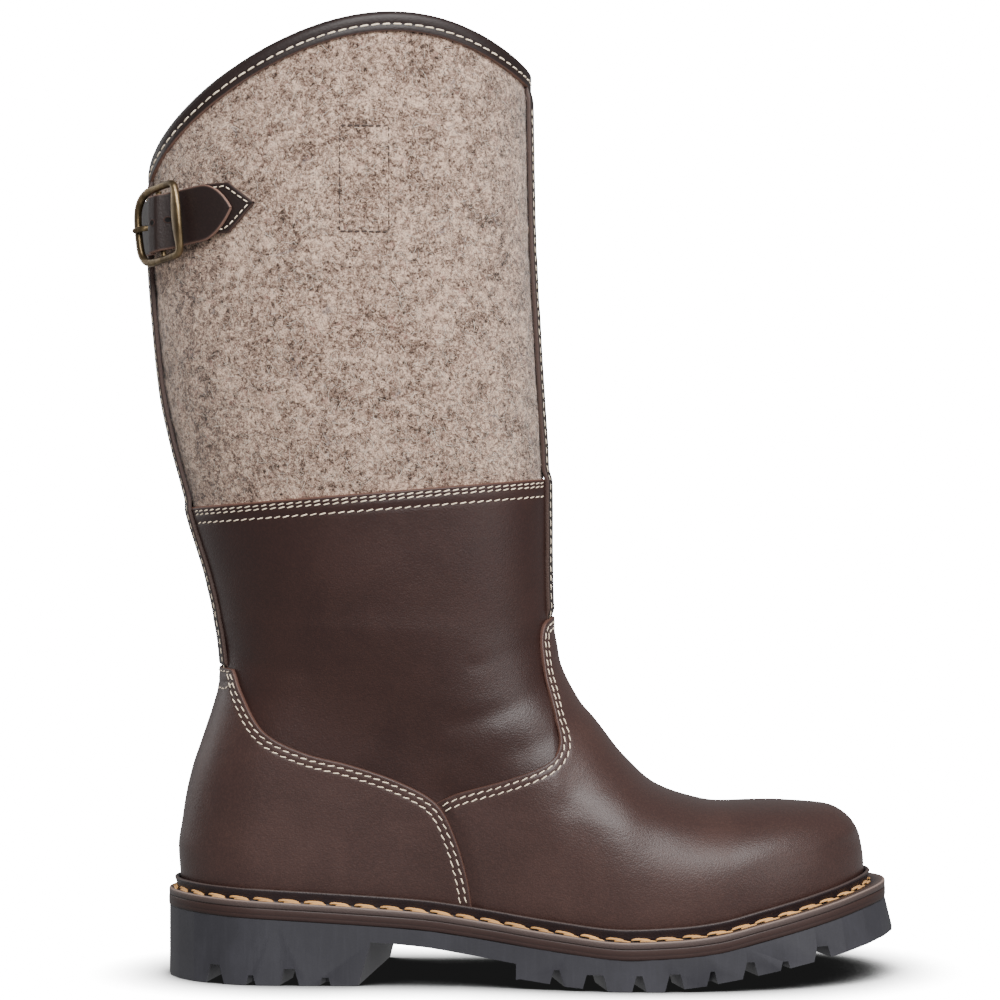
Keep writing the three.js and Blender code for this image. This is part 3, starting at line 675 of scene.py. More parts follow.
class Tree:
    """Adds and links the nodes of one shader tree."""

    def __init__(self, tree: bpy.types.NodeTree) -> None:
        """Keeps the tree and empties it.

        Args:
            tree: the shader tree to fill.
        """
        self.tree = tree
        tree.nodes.clear()

    def add(self, kind: str, options: dict | None = None, **inputs: object) -> bpy.types.Node:
        """Adds a node.

        Args:
            kind: the node's type name after ShaderNode.
            options: the node's own settings.
            inputs: constants or sockets by input name, with underscores for spaces, or by number.

        Returns:
            The new node.
        """
        node = self.tree.nodes.new("ShaderNode" + kind)
        for key, value in (options or {}).items():
            setattr(node, key, value)
        for key, value in inputs.items():
            by_number = key[0] == "i" and key[1:].isdigit()
            socket = node.inputs[int(key[1:]) if by_number else key.replace("_", " ")]
            if isinstance(value, bpy.types.NodeSocket):
                self.tree.links.new(value, socket)
            else:
                socket.default_value = value
        return node

    def math(self, operation: str, a: object, b: object = 0.0, c: object = 0.0) -> bpy.types.NodeSocket:
        """Adds a math node.

        Args:
            operation: the node's operation.
            a: first value or socket.
            b: second value or socket.
            c: third value or socket.

        Returns:
            Its output socket.
        """
        return self.add("Math", {"operation": operation}, i0=a, i1=b, i2=c).outputs[0]

    def mix(self, factor: object, a: object, b: object) -> bpy.types.NodeSocket:
        """Adds a colour mix.

        Args:
            factor: share of the second colour.
            a: first colour or socket.
            b: second colour or socket.

        Returns:
            The mixed colour.
        """
        node = self.add("Mix", {"data_type": "RGBA"})
        for socket, value in ((node.inputs[0], factor), (node.inputs[6], a), (node.inputs[7], b)):
            if isinstance(value, bpy.types.NodeSocket):
                self.tree.links.new(value, socket)
            else:
                socket.default_value = value
        return node.outputs[2]

    def ramp(self, value: object, low: float, high: float) -> bpy.types.NodeSocket:
        """Maps a range smoothly to 0 to 1.

        Args:
            value: the value or socket.
            low: value that gives 0.
            high: value that gives 1.

        Returns:
            The mapped value.
        """
        options = {"interpolation_type": "SMOOTHSTEP"}
        return self.add("MapRange", options, Value=value, From_Min=low, From_Max=high).outputs[0]

    def noise(
        self, where: object, scale: float, detail: float = 4.0, rough: float = 0.55, warp: float = 0.0
    ) -> bpy.types.NodeSocket:
        """Adds a noise texture.

        Args:
            where: coordinates in metres.
            scale: cells in a metre.
            detail: octaves.
            rough: strength of the finer octaves.
            warp: distortion.

        Returns:
            Its value.
        """
        values = {"Scale": scale, "Detail": detail, "Roughness": rough, "Distortion": warp}
        node = self.add("TexNoise", None, Vector=where, **values)
        return node.outputs[0]


def group(name: str, inputs: dict[str, object], outputs: dict[str, str]) -> tuple[Tree, object, object]:
    """Starts a node group.

    Args:
        name: the group's name.
        inputs: start values by input name; a tuple makes a colour socket.
        outputs: socket types by output name.

    Returns:
        The tree, its input node and its output node.
    """
    made = bpy.data.node_groups.new(name, "ShaderNodeTree")
    for key, value in inputs.items():
        kind = "NodeSocketColor" if isinstance(value, tuple) else "NodeSocketFloat"
        made.interface.new_socket(key, in_out="INPUT", socket_type=kind).default_value = value
    for key, kind in outputs.items():
        made.interface.new_socket(key, in_out="OUTPUT", socket_type=kind)
    tree = Tree(made)
    return tree, made.nodes.new("NodeGroupInput"), made.nodes.new("NodeGroupOutput")


class Effects:
    """The shader groups that several finishes share."""

    def __init__(self) -> None:
        """Makes the groups."""
        self.grain = self._grain()
        self.patina = self._patina()
        self.wool = self._wool()
        self.mould = self._mould()

    @staticmethod
    def _grain() -> bpy.types.NodeTree:
        """Leather grain: fine cells with pores between them, and longer soft wrinkles.

        Returns:
            The group, with outputs Height and Pores.
        """
        names = {"Height": "NodeSocketFloat", "Pores": "NodeSocketFloat"}
        tree, given, result = group("grain", {"Cell": 1500.0, "Wrinkle": 0.35}, names)
        where = tree.add("TexCoord").outputs["Object"]
        bent = tree.noise(where, 420.0, 2.0)
        cells = tree.add("TexVoronoi", {"feature": "SMOOTH_F1"}, Vector=where, Scale=given.outputs[0])
        cells.inputs["Smoothness"].default_value = 0.6
        fine = tree.noise(where, 3600.0, 3.0)
        soft = tree.math("MULTIPLY", bent, given.outputs[1])
        pores = tree.math("MULTIPLY_ADD", fine, 0.35, cells.outputs["Distance"])
        height = tree.math("SUBTRACT", soft, tree.math("MULTIPLY", pores, 0.5))
        tree.tree.links.new(height, result.inputs[0])
        tree.tree.links.new(pores, result.inputs[1])
        return tree.tree

    @staticmethod
    def _patina() -> bpy.types.NodeTree:
        """Colour and gloss of dressed leather: slow cloudy changes, and bare cut edges, which on the storm
        welt also carry a painted highlight.

        The cut edges are where the mesh attribute edge is 1.

        Returns:
            The group, with outputs Color and Roughness.
        """
        start = {
            "Base": (0.05, 0.03, 0.02, 1.0),
            "Worn": (0.09, 0.05, 0.04, 1.0),
            "Cut": (0.2, 0.1, 0.08, 1.0),
            "Roughness": 0.4,
        }
        names = {"Color": "NodeSocketColor", "Roughness": "NodeSocketFloat"}
        tree, given, result = group("patina", start, names)
        where = tree.add("TexCoord").outputs["Object"]
        cloud = tree.ramp(tree.noise(where, 22.0, 5.0, 0.6, 0.4), 0.38, 0.68)
        speck = tree.ramp(tree.noise(where, 900.0, 3.0, 0.7), 0.4, 0.7)
        worn = tree.math("MULTIPLY_ADD", speck, 0.3, tree.math("MULTIPLY", cloud, 0.25))
        colour = tree.mix(worn, given.outputs[0], given.outputs[1])
        edge = tree.add("Attribute", {"attribute_name": "edge"}).outputs["Fac"]
        colour = tree.mix(edge, colour, given.outputs[2])
        rough = tree.math("MULTIPLY_ADD", cloud, 0.08, given.outputs[3])
        rough = tree.math("MULTIPLY_ADD", edge, 0.3, rough)
        tree.tree.links.new(colour, result.inputs[0])
        tree.tree.links.new(rough, result.inputs[1])
        return tree.tree

    @staticmethod
    def _wool() -> bpy.types.NodeTree:
        """Mottled wool: clouds of pale and dark fleece, streaks of fibre, and rare coloured flecks.

        Returns:
            The group, with outputs Color and Height.
        """
        start = {"Pale": (0.5, 0.45, 0.4, 1.0), "Middle": (0.3, 0.26, 0.23, 1.0)}
        start["Dark"] = (0.1, 0.08, 0.07, 1.0)
        names = {"Color": "NodeSocketColor", "Height": "NodeSocketFloat"}
        tree, given, result = group("wool", start, names)
        where = tree.add("TexCoord").outputs["Object"]
        cloud = tree.noise(where, 80.0, 4.0, 0.6, 0.6)
        tuft = tree.noise(where, 380.0, 4.0, 0.62, 0.8)
        fibre = tree.noise(where, 900.0, 3.0, 0.7, 1.2)
        both = tree.math("MULTIPLY_ADD", tuft, 0.62, tree.math("MULTIPLY", cloud, 0.38))
        blend = tree.math("MULTIPLY_ADD", fibre, 0.5, tree.math("MULTIPLY", both, 0.5))
        low = tree.mix(tree.ramp(blend, 0.405, 0.49), given.outputs[2], given.outputs[1])
        colour = tree.mix(tree.ramp(blend, 0.475, 0.59), low, given.outputs[0])
        warm = tree.ramp(tree.noise(where, 210.0, 2.0, 0.5), 0.62, 0.74)
        colour = tree.mix(tree.math("MULTIPLY", warm, 0.35), colour, linear(0x9A7468))
        cool = tree.ramp(tree.noise(where, 170.0, 3.0, 0.5, 1.0), 0.64, 0.76)
        colour = tree.mix(tree.math("MULTIPLY", cool, 0.4), colour, linear(0x6A6A70))
        height = tree.math("MULTIPLY_ADD", fibre, 0.5, tuft)
        tree.tree.links.new(colour, result.inputs[0])
        tree.tree.links.new(height, result.inputs[1])
        return tree.tree

    @staticmethod
    def _mould() -> bpy.types.NodeTree:
        """Moulded or brushed skin: upright flow marks, fine speckle, and dust toward the floor.

        Returns:
            The group, with outputs Color, Roughness and Height.
        """
        start = {"Base": (0.06, 0.06, 0.07, 1.0), "Dust": (0.2, 0.19, 0.19, 1.0)}
        start |= {"Roughness": 0.6, "Low": 0.0}
        names = {"Color": "NodeSocketColor", "Roughness": "NodeSocketFloat", "Height": "NodeSocketFloat"}
        tree, given, result = group("mould", start, names)
        where = tree.add("TexCoord").outputs["Object"]
        stretch = tree.add("Mapping", None, Vector=where, Scale=(1.0, 1.0, 0.08)).outputs[0]
        flow = tree.noise(stretch, 700.0, 3.0, 0.6)
        speckle = tree.noise(where, 2400.0, 3.0, 0.6)
        cloud = tree.noise(where, 45.0, 4.0, 0.6)
        up = tree.add("SeparateXYZ", None, Vector=where).outputs[2]
        near = tree.math("MULTIPLY", tree.ramp(tree.math("MULTIPLY", up, -1.0), -0.02, 0.0), given.outputs[3])
        dust = tree.math("MULTIPLY_ADD", tree.ramp(cloud, 0.4, 0.7), 0.3, tree.math("MULTIPLY", near, cloud))
        dust = tree.math("MULTIPLY_ADD", tree.ramp(flow, 0.45, 0.75), 0.22, dust)
        tree.tree.links.new(tree.mix(dust, given.outputs[0], given.outputs[1]), result.inputs[0])
        tree.tree.links.new(tree.math("MULTIPLY_ADD", cloud, 0.12, given.outputs[2]), result.inputs[1])
        tree.tree.links.new(tree.math("MULTIPLY_ADD", flow, 0.6, speckle), result.inputs[2])
        return tree.tree


@dataclass(frozen=True)
class Finish:
    """A surface's look, which its kind turns into a material."""

    name: str

    def _start(self) -> tuple[bpy.types.Material, Tree, bpy.types.Node]:
        """Starts the material.

        Returns:
            The material, its tree and its surface shader.
        """
        made = bpy.data.materials.new(self.name)
        made.use_nodes = True
        tree = Tree(made.node_tree)
        shader = tree.add("BsdfPrincipled")
        out = tree.add("OutputMaterial")
        made.node_tree.links.new(shader.outputs[0], out.inputs[0])
        return made, tree, shader

    def _bump(
        self, tree: Tree, shader: bpy.types.Node, height: object, depth: float, strength: float
    ) -> None:
        """Links a height to the surface's normal.

        Args:
            tree: the material's tree.
            shader: its surface shader.
            height: the height socket, about 0 to 1.
            depth: the height's size in millimetres.
            strength: share of the effect.
        """
        node = tree.add("Bump", None, Height=height, Distance=depth * METRE, Strength=strength)
        tree.tree.links.new(node.outputs[0], shader.inputs["Normal"])


@dataclass(frozen=True)
class LeatherFinish(Finish):
    """Waxed smooth leather."""

    base: int
    worn: int
    cut: int
    roughness: float = 0.42
    cell: float = 1500.0
    depth: float = 0.2
    coat: float = 0.08
    gloss: float = 0.3

    def build(self, effects: Effects) -> bpy.types.Material:
        """Makes the material.

        Args:
            effects: the shared groups.

        Returns:
            The material.
        """
        made, tree, shader = self._start()
        colours = {"Base": linear(self.base), "Worn": linear(self.worn)}
        look = tree.add("Group", {"node_tree": effects.patina}, **colours)
        look.inputs["Cut"].default_value = linear(self.cut)
        look.inputs["Roughness"].default_value = self.roughness
        grain = tree.add("Group", {"node_tree": effects.grain}, Cell=self.cell, Wrinkle=0.4)
        tree.tree.links.new(look.outputs[0], shader.inputs["Base Color"])
        tree.tree.links.new(look.outputs[1], shader.inputs["Roughness"])
        shader.inputs["Coat Weight"].default_value = self.coat
        shader.inputs["Coat Roughness"].default_value = 0.35
        shader.inputs["Specular IOR Level"].default_value = self.gloss
        self._bump(tree, shader, grain.outputs[0], self.depth, 0.8)
        return made


@dataclass(frozen=True)
class FeltFinish(Finish):
    """Pressed wool."""

    pale: int
    middle: int
    dark: int

    def build(self, effects: Effects) -> bpy.types.Material:
        """Makes the material.

        Args:
            effects: the shared groups.

        Returns:
            The material.
        """
        made, tree, shader = self._start()
        colours = {"Pale": linear(self.pale), "Middle": linear(self.middle)}
        wool = tree.add("Group", {"node_tree": effects.wool}, **colours)
        wool.inputs["Dark"].default_value = linear(self.dark)
        tree.tree.links.new(wool.outputs[0], shader.inputs["Base Color"])
        shader.inputs["Roughness"].default_value = 0.95
        shader.inputs["Specular IOR Level"].default_value = 0.15
        shader.inputs["Sheen Weight"].default_value = 0.25
        self._bump(tree, shader, wool.outputs[1], 0.9, 0.8)
        return made


@dataclass(frozen=True)
class MouldedFinish(Finish):
    """Rubber, sole edge or board."""

    base: int
    dust: int
    roughness: float = 0.6
    low_dust: float = 0.0
    depth: float = 0.1

    def build(self, effects: Effects) -> bpy.types.Material:
        """Makes the material.

        Args:
            effects: the shared groups.

        Returns:
            The material.
        """
        made, tree, shader = self._start()
        look = tree.add("Group", {"node_tree": effects.mould}, Base=linear(self.base), Dust=linear(self.dust))
        look.inputs["Roughness"].default_value = self.roughness
        look.inputs["Low"].default_value = self.low_dust
        tree.tree.links.new(look.outputs[0], shader.inputs["Base Color"])
        tree.tree.links.new(look.outputs[1], shader.inputs["Roughness"])
        self._bump(tree, shader, look.outputs[2], self.depth, 0.5)
        return made


@dataclass(frozen=True)
class BrassFinish(Finish):
    """Antique brass, brown in its hollows."""

    bright: int
    dull: int

    def build(self, effects: Effects) -> bpy.types.Material:
        """Makes the material.

        Args:
            effects: the shared groups.

        Returns:
            The material.
        """
        made, tree, shader = self._start()
        colours = {"Base": linear(self.dull), "Dust": linear(self.bright)}
        look = tree.add("Group", {"node_tree": effects.mould}, **colours)
        look.inputs["Roughness"].default_value = 0.28
        tree.tree.links.new(look.outputs[0], shader.inputs["Base Color"])
        tree.tree.links.new(look.outputs[1], shader.inputs["Roughness"])
        shader.inputs["Metallic"].default_value = 0.85
        self._bump(tree, shader, look.outputs[2], 0.12, 0.6)
        return made


@dataclass(frozen=True)
class ThreadFinish(Finish):
    """Waxed thread, loose fibre, and the painted shade in the strap's holes, whose tone follows the mesh
    attribute tone.
    """

    pale: int
    dark: int
    roughness: float = 0.7

    def build(self, effects: Effects) -> bpy.types.Material:
        """Makes the material.

        Args:
            effects: the shared groups; not used here.

        Returns:
            The material.
        """
        made, tree, shader = self._start()
        tone = tree.add("Attribute", {"attribute_name": "tone"}).outputs["Fac"]
        where = tree.add("TexCoord").outputs["Object"]
        twist = tree.add("TexWave", None, Vector=where, Scale=900.0, Distortion=1.5).outputs["Fac"]
        colour = tree.mix(tone, linear(self.dark), linear(self.pale))
        tree.tree.links.new(colour, shader.inputs["Base Color"])
        shader.inputs["Roughness"].default_value = self.roughness
        shader.inputs["Specular IOR Level"].default_value = 0.25
        self._bump(tree, shader, twist, 0.1, 0.5)
        return made


# Stitching


@dataclass
class Stitching:
    """Collects rows of stitches and makes one mesh for each kind of thread."""

    form: BootForm
    rows: dict[Thread, list[tuple[np.ndarray, ...]]] = field(default_factory=dict)

    def sew(
        self,
        points: np.ndarray,
        normals: np.ndarray,
        pitch: float = 3.9,
        fill: float = 0.76,
        radius: float = 0.27,
        slant: float = 0.16,
        thread: Thread = Thread.CREAM,
    ) -> None:
        """Adds a row along a line on the surface.

        Args:
            points: the line's points in millimetres.
            normals: outward normals there.
            pitch: distance between stitches.
            fill: length of a stitch as a share of the pitch.
            radius: the thread's radius.
            slant: turn of each stitch off the line, in radians.
            thread: the kind of thread.
        """
        line, out = resample(points, normals, step=pitch)
        middle = (line[1:] + line[:-1]) / 2
        run = unit(line[1:] - line[:-1])
        up = unit(out[1:] + out[:-1])
        side = np.cross(up, run)
        rng = np.random.default_rng(len(points) * 7 + len(line))
        turn = slant + rng.normal(0, 0.03, len(middle))[:, None]
        run = run * np.cos(turn) + side * np.sin(turn)
        size = np.stack([np.full(len(middle), pitch * fill), np.full(len(middle), radius)], -1)
        size = size * (1 + rng.normal(0, 0.04, size.shape))
        tone = np.clip(rng.normal(0.86, 0.1, len(middle)), 0, 1)
        self.rows.setdefault(thread, []).append((middle, run, up, size, tone))

    @staticmethod
    def loops(middle: np.ndarray, run: np.ndarray, up: np.ndarray, size: np.ndarray) -> np.ndarray:
        """Points of stitches: a round thread that arches out of one hole and into the next.

        Args:
            middle: the stitches' middles.
            run: their directions.
            up: outward normals.
            size: length and radius of each.

        Returns:
            Points by stitch, station and place round the thread.
        """
        s = np.array([-1, -0.86, -0.5, 0, 0.5, 0.86, 1.0])
        lift = 0.62 * (1 - np.abs(s) ** 3.2) - 0.42
        thick = np.array([0.55, 0.9, 1, 1, 1, 0.9, 0.55])
        turn = np.arange(6) / 6 * 2 * np.pi
        side = np.cross(up, run)
        length, radius = size[:, 0, None, None, None], size[:, 1, None, None, None]
        centre = run[:, None, None] * s[None, :, None, None] * length / 2
        centre = centre + up[:, None, None] * lift[None, :, None, None] * radius * 1.7
        ring = side[:, None, None] * np.cos(turn)[None, None, :, None]
        ring = ring + up[:, None, None] * np.sin(turn)[None, None, :, None] * 0.85
        return middle[:, None, None] + centre + ring * thick[None, :, None, None] * radius

    def build(self, kind: Thread, material: bpy.types.Material, slot: str) -> bpy.types.Object:
        """Makes the mesh of one kind of thread.

        Args:
            kind: the thread.
            material: its finish.
            slot: the record's material slot; not used.

        Returns:
            The object.
        """
        middle, run, up, size, tone = (np.concatenate(part) for part in zip(*self.rows[kind]))
        points = self.loops(middle, run, up, size)
        one = quads(7, 6, around=True)
        faces = (one[None] + np.arange(len(middle))[:, None, None] * 42).reshape(-1, 4)
        values = {"tone": np.repeat(tone, 42)}
        return make_piece(f"{kind.value}_stitches", points, faces, material, values)


# Leather panels

# Distance from a cut edge, depth under the panel's face, and how bare the cut leather is
CUT_EDGE = np.array(
    [
        [0.0, -1.74, 0.3], [0.02, -0.95, 0.6], [0.1, -0.42, 0.55], [0.3, -0.12, 0.15], [0.6, -0.02, 0.0],
        [1.0, 0.0, 0.0], [1.5, -0.02, 0.0], [1.85, -0.1, 0.0], [2.1, -0.17, 0.0], [2.35, -0.1, 0.0],
        [2.7, -0.02, 0.0], [3.35, 0.05, 0.0], [4.0, -0.02, 0.0], [4.35, -0.1, 0.0], [4.6, -0.17, 0.0],
        [4.85, -0.1, 0.0], [5.2, -0.02, 0.0], [6.2, 0.03, 0.0], [7.5, 0.02, 0.0], [9.0, 0.0, 0.0],
    ]
)
FIRST_ROW, SECOND_ROW = 8, 14  # the stitched rows of CUT_EDGE

# Soft folds in side view: points along and over the heel seat as shares, depth and half width in
# millimetres, each drawn where the leather bends
FOLDS = (
    ([[0.6, 0.76], [0.585, 0.68], [0.545, 0.6], [0.5, 0.55]], 0.55, 5.5),
    ([[0.66, 0.6], [0.64, 0.52], [0.6, 0.43], [0.56, 0.36]], 0.5, 6.5),
    ([[0.56, 0.86], [0.52, 0.76], [0.46, 0.68], [0.4, 0.64]], 0.45, 4.5),
    ([[0.555, 0.97], [0.5, 0.9], [0.43, 0.85]], 0.3, 3.6),
    ([[0.07, 0.9], [0.12, 0.84], [0.19, 0.82]], 0.35, 4.5),
    ([[0.8, 0.44], [0.77, 0.34], [0.74, 0.22]], 0.35, 7.0),
    ([[0.46, 0.6], [0.42, 0.52], [0.4, 0.46]], -0.5, 7.0),
)


def folds(points: np.ndarray) -> np.ndarray:
    """Depth of the leather's soft folds: each a trough that fades at its ends.

    Args:
        points: points in millimetres.

    Returns:
        Depths, negative inward.
    """
    flat = points[..., [0, 2]]
    total = np.zeros(flat.shape[:-1])
    for rows, depth, wide in FOLDS:
        line = spline(edge_line(np.array(rows)), 6)
        distance = np.abs(line_distance(flat, line))
        total -= depth * np.exp(-((distance / wide) ** 2))
    return total + 0.09 * noise(points, 16.0, 3) + 0.04 * noise(points, 6.0, 4)


@dataclass
class Panel:
    """A leather overlay with a cut, twice stitched edge, seen alike from both sides.

    Each row starts at a station on the edge, runs inward square to it over the width of CUT_EDGE, and
    then round the boot on one ring to the same place on the other side.
    """

    form: BootForm
    outline: np.ndarray
    side: Side
    middle_columns: int
    hidden: float = 0.0  # length of the outline, from its start, that another panel covers
    capped: bool = False  # whether the last row is a cut edge too
    angle: np.ndarray = field(init=False)
    ring: np.ndarray = field(init=False)
    stations: np.ndarray = field(init=False)

    def __post_init__(self) -> None:
        """Lays out the lattice of angles and rings."""
        angle, ring = self.form.locate(self.outline[:, 0], self.outline[:, 1])
        points = self.form.dressed(angle, ring)
        angle, ring, length = self._space(points, angle, ring)
        points = self.form.dressed(angle, ring)
        run = unit(np.gradient(points, axis=0))
        inward = np.cross(run, self.form.outward(angle, ring))
        if self.side is Side.TO_HEEL:
            inward = -inward
        if self.capped:
            level = self.form.dressed(angle - 0.01, ring) - self.form.dressed(angle + 0.01, ring)
            share = ease(1 - (length[-1] - length) / 9)[:, None]
            inward = unit(inward * (1 - share) + unit(level) * share)
        width = np.clip((length - self.hidden * 0.6) / max(self.hidden * 0.4, 0.01), 0.02, 1)
        angles, rings = self._inward(angle, ring, inward, width)
        rings, steady = self._steadied(rings)
        if self.side is Side.TO_TOE:
            angles, rings, steady, length = self._joined(angles, rings, steady, length)
        near = angles[-1]
        far = 2 * np.pi - near if self.side is Side.TO_TOE else -near
        share = np.linspace(0, 1, self.middle_columns + 2)[1:-1, None]
        middle = near * (1 - share) + far * share
        other = (2 * np.pi if self.side is Side.TO_TOE else 0) - angles[::-1]
        away = ease(np.minimum(share, 1 - share) * 12)
        across = rings[-1] * (1 - away) + steady * away
        self.angle = np.concatenate([angles, middle, other]).T
        self.ring = np.concatenate([rings, across, rings[::-1]]).T
        self.stations = length[-1] - length

    def _steadied(self, rings: np.ndarray) -> tuple[np.ndarray, np.ndarray]:
        """Keeps the rings of each column rising from row to row, so that no row crosses another.

        No ring is over a later one, and those further in also take a share of their mean over 25 rows.

        Args:
            rings: rings by column and station.

        Returns:
            The rings, and those of the rows that go round the boot.
        """
        rising = np.minimum.accumulate(rings[:, ::-1], axis=1)[:, ::-1]
        if self.capped:
            return rising, rising[-1]
        wide = np.pad(rising, ((0, 0), (12, 12)), mode="reflect", reflect_type="odd")
        mean = sum(wide[:, i : i + rings.shape[1]] for i in range(25)) / 25
        late = ease(np.arange(rings.shape[1])[::-1] / 20)
        mean = rising * (1 - late) + mean * late
        share = np.linspace(0, 0.7, len(rings))[:, None] ** 2
        return rising * (1 - share) + mean * share, mean[-1]

    def _joined(
        self, angles: np.ndarray, rings: np.ndarray, steady: np.ndarray, length: np.ndarray
    ) -> tuple[np.ndarray, ...]:
        """Carries the last station on to the middle of the boot, where both halves of the panel meet.

        Args:
            angles: angles by column and station.
            rings: rings by column and station.
            steady: rings of the rows that go round the boot.
            length: lengths of the stations along the edge.

        Returns:
            All four with five more stations.
        """
        share = np.linspace(0, 1, 6)[1:]
        more = angles[:, -1:] * (1 - share) + (np.pi - 0.004) * share
        last = np.repeat(rings[:, -1:], len(share), axis=1)
        gap = np.linalg.norm(np.diff(self.form.dressed(more[0, [0, -1]], last[0, [0, -1]]), axis=0))
        angles, rings = np.concatenate((angles, more), axis=1), np.concatenate((rings, last), axis=1)
        steady = np.concatenate((steady, np.repeat(steady[-1:], len(share))))
        return angles, rings, steady, np.concatenate((length, length[-1] + gap * 1.2 * share))

    def _space(self, points: np.ndarray, angle: np.ndarray, ring: np.ndarray) -> tuple[np.ndarray, ...]:
        """Spaces the stations about a millimetre apart, and closer at a capped end.

        Args:
            points: points along the edge.
            angle: their angles.
            ring: their rings.

        Returns:
            Angles, rings and lengths of the stations.
        """
        gaps = np.linalg.norm(np.diff(points, axis=0), axis=1)
        length = np.concatenate(([0.0], np.cumsum(gaps)))
        total = length[-1]
        if self.capped:
            plain = np.arange(0, total - 10, 1.0)
            wanted = np.concatenate((plain, total - CUT_EDGE[::-1, 0]))
        else:
            wanted = np.linspace(0, total, int(total))
        return np.interp(wanted, length, angle), np.interp(wanted, length, ring), wanted

    def _inward(
        self, angle: np.ndarray, ring: np.ndarray, inward: np.ndarray, width: np.ndarray
    ) -> tuple[np.ndarray, np.ndarray]:
        """Walks inward from the edge, in steps that the surface's slopes turn into angle and ring.

        Args:
            angle: angles of the stations.
            ring: rings of the stations.
            inward: directions in the surface, square to the edge.
            width: scale of CUT_EDGE at each station.

        Returns:
            Angles and rings by column and station.
        """
        angles, rings = [angle], [ring]
        limit = np.pi - 0.004 if self.side is Side.TO_TOE else 0.004
        for step in np.diff(CUT_EDGE[:, 0]):
            e = 0.002
            high, low = np.minimum(ring + e, 15.9), np.maximum(ring - e, 0)
            turn = (self.form.dressed(angle + e, ring) - self.form.dressed(angle - e, ring)) / (2 * e)
            rise = self.form.dressed(angle, high) - self.form.dressed(angle, low)
            rise = rise / (high - low)[:, None]
            aim = inward * (step * width)[:, None]
            aa, ab, bb = (turn * turn).sum(1), (turn * rise).sum(1), (rise * rise).sum(1)
            ta, tb = (turn * aim).sum(1), (rise * aim).sum(1)
            area = np.maximum(aa * bb - ab * ab, 1e-6)
            angle = angle + (ta * bb - tb * ab) / area
            ring = np.clip(ring + (tb * aa - ta * ab) / area, 0, 15.9)
            if self.side is Side.TO_TOE:
                angle = np.minimum(angle, limit)
            else:
                angle = np.maximum(angle, limit)
            angles.append(angle)
            rings.append(ring)
        return np.array(angles), np.array(rings)

    def build(self, name: str, material: bpy.types.Material, tuck: np.ndarray | None) -> bpy.types.Object:
        """Makes the panel's mesh.

        Args:
            name: the CAD node that it stands for.
            material: the leather.
            tuck: side view of an edge under which the panel sinks, or None.

        Returns:
            The object.
        """
        rows, columns = self.angle.shape
        edge = len(CUT_EDGE)
        depth = np.zeros(columns)
        bare = np.zeros(columns)
        depth[:edge], bare[:edge] = CUT_EDGE[:, 1], CUT_EDGE[:, 2]
        depth[-edge:], bare[-edge:] = CUT_EDGE[::-1, 1], CUT_EDGE[::-1, 2]
        depth, bare = np.tile(depth, (rows, 1)), np.tile(bare, (rows, 1))
        if self.capped:
            top = np.interp(self.stations, CUT_EDGE[:, 0], CUT_EDGE[:, 1])[:, None]
            depth = np.minimum(depth, top)
            bare = np.maximum(bare, np.interp(self.stations, CUT_EDGE[:, 0], CUT_EDGE[:, 2])[:, None])
        surface = self.form.dressed(self.angle, self.ring)
        soft = folds(surface) * np.clip(depth / 1.74 + 1, 0, 1)
        if tuck is not None:
            under = line_distance(surface[..., [0, 2]], tuck)
            sink = -1.25 * (1 - ease(under / 4.5)) * np.clip(depth / 1.74 + 1, 0, 1)
            bare = np.where(under < 0.5, 0, bare)
            soft = soft + sink
        points = self.form.skin(self.angle, self.ring, depth + soft)
        faces = quads(rows, columns)
        if self.side is Side.TO_HEEL:
            faces = faces[:, ::-1]
        piece = make_piece(name + "_leather", points, faces, material, {"edge": bare})
        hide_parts(name)
        return piece

    def sew(self, stitching: Stitching, from_station: float) -> None:
        """Adds the two rows along both sides of the edge.

        Args:
            stitching: where the rows go.
            from_station: length of the outline, from its start, that stays plain.
        """
        kept = self.stations < self.stations[0] - from_station
        if self.capped:
            kept &= self.stations > 1.6
        for column in (FIRST_ROW, SECOND_ROW):
            for place in (column, self.angle.shape[1] - 1 - column):
                angle, ring = self.angle[kept, place], self.ring[kept, place]
                depth = folds(self.form.dressed(angle, ring)) - 0.1
                slant = 0.2 if place == column else -0.2
                points = self.form.skin(angle, ring, depth)
                stitching.sew(points, self.form.outward(angle, ring), slant=slant)

    def sew_top(self, stitching: Stitching, drops: tuple[float, ...]) -> None:
        """Adds rows across a capped end.

        Args:
            stitching: where the rows go.
            drops: distances from the end in millimetres.
        """
        for drop in drops:
            row = int(np.argmin(np.abs(self.stations - drop)))
            angle = self.angle[row, FIRST_ROW : self.angle.shape[1] - FIRST_ROW]
            ring = self.ring[row, FIRST_ROW : self.angle.shape[1] - FIRST_ROW]
            points = self.form.skin(angle, ring, np.full(angle.shape, -0.05))
            stitching.sew(points, self.form.outward(angle, ring), pitch=3.4)


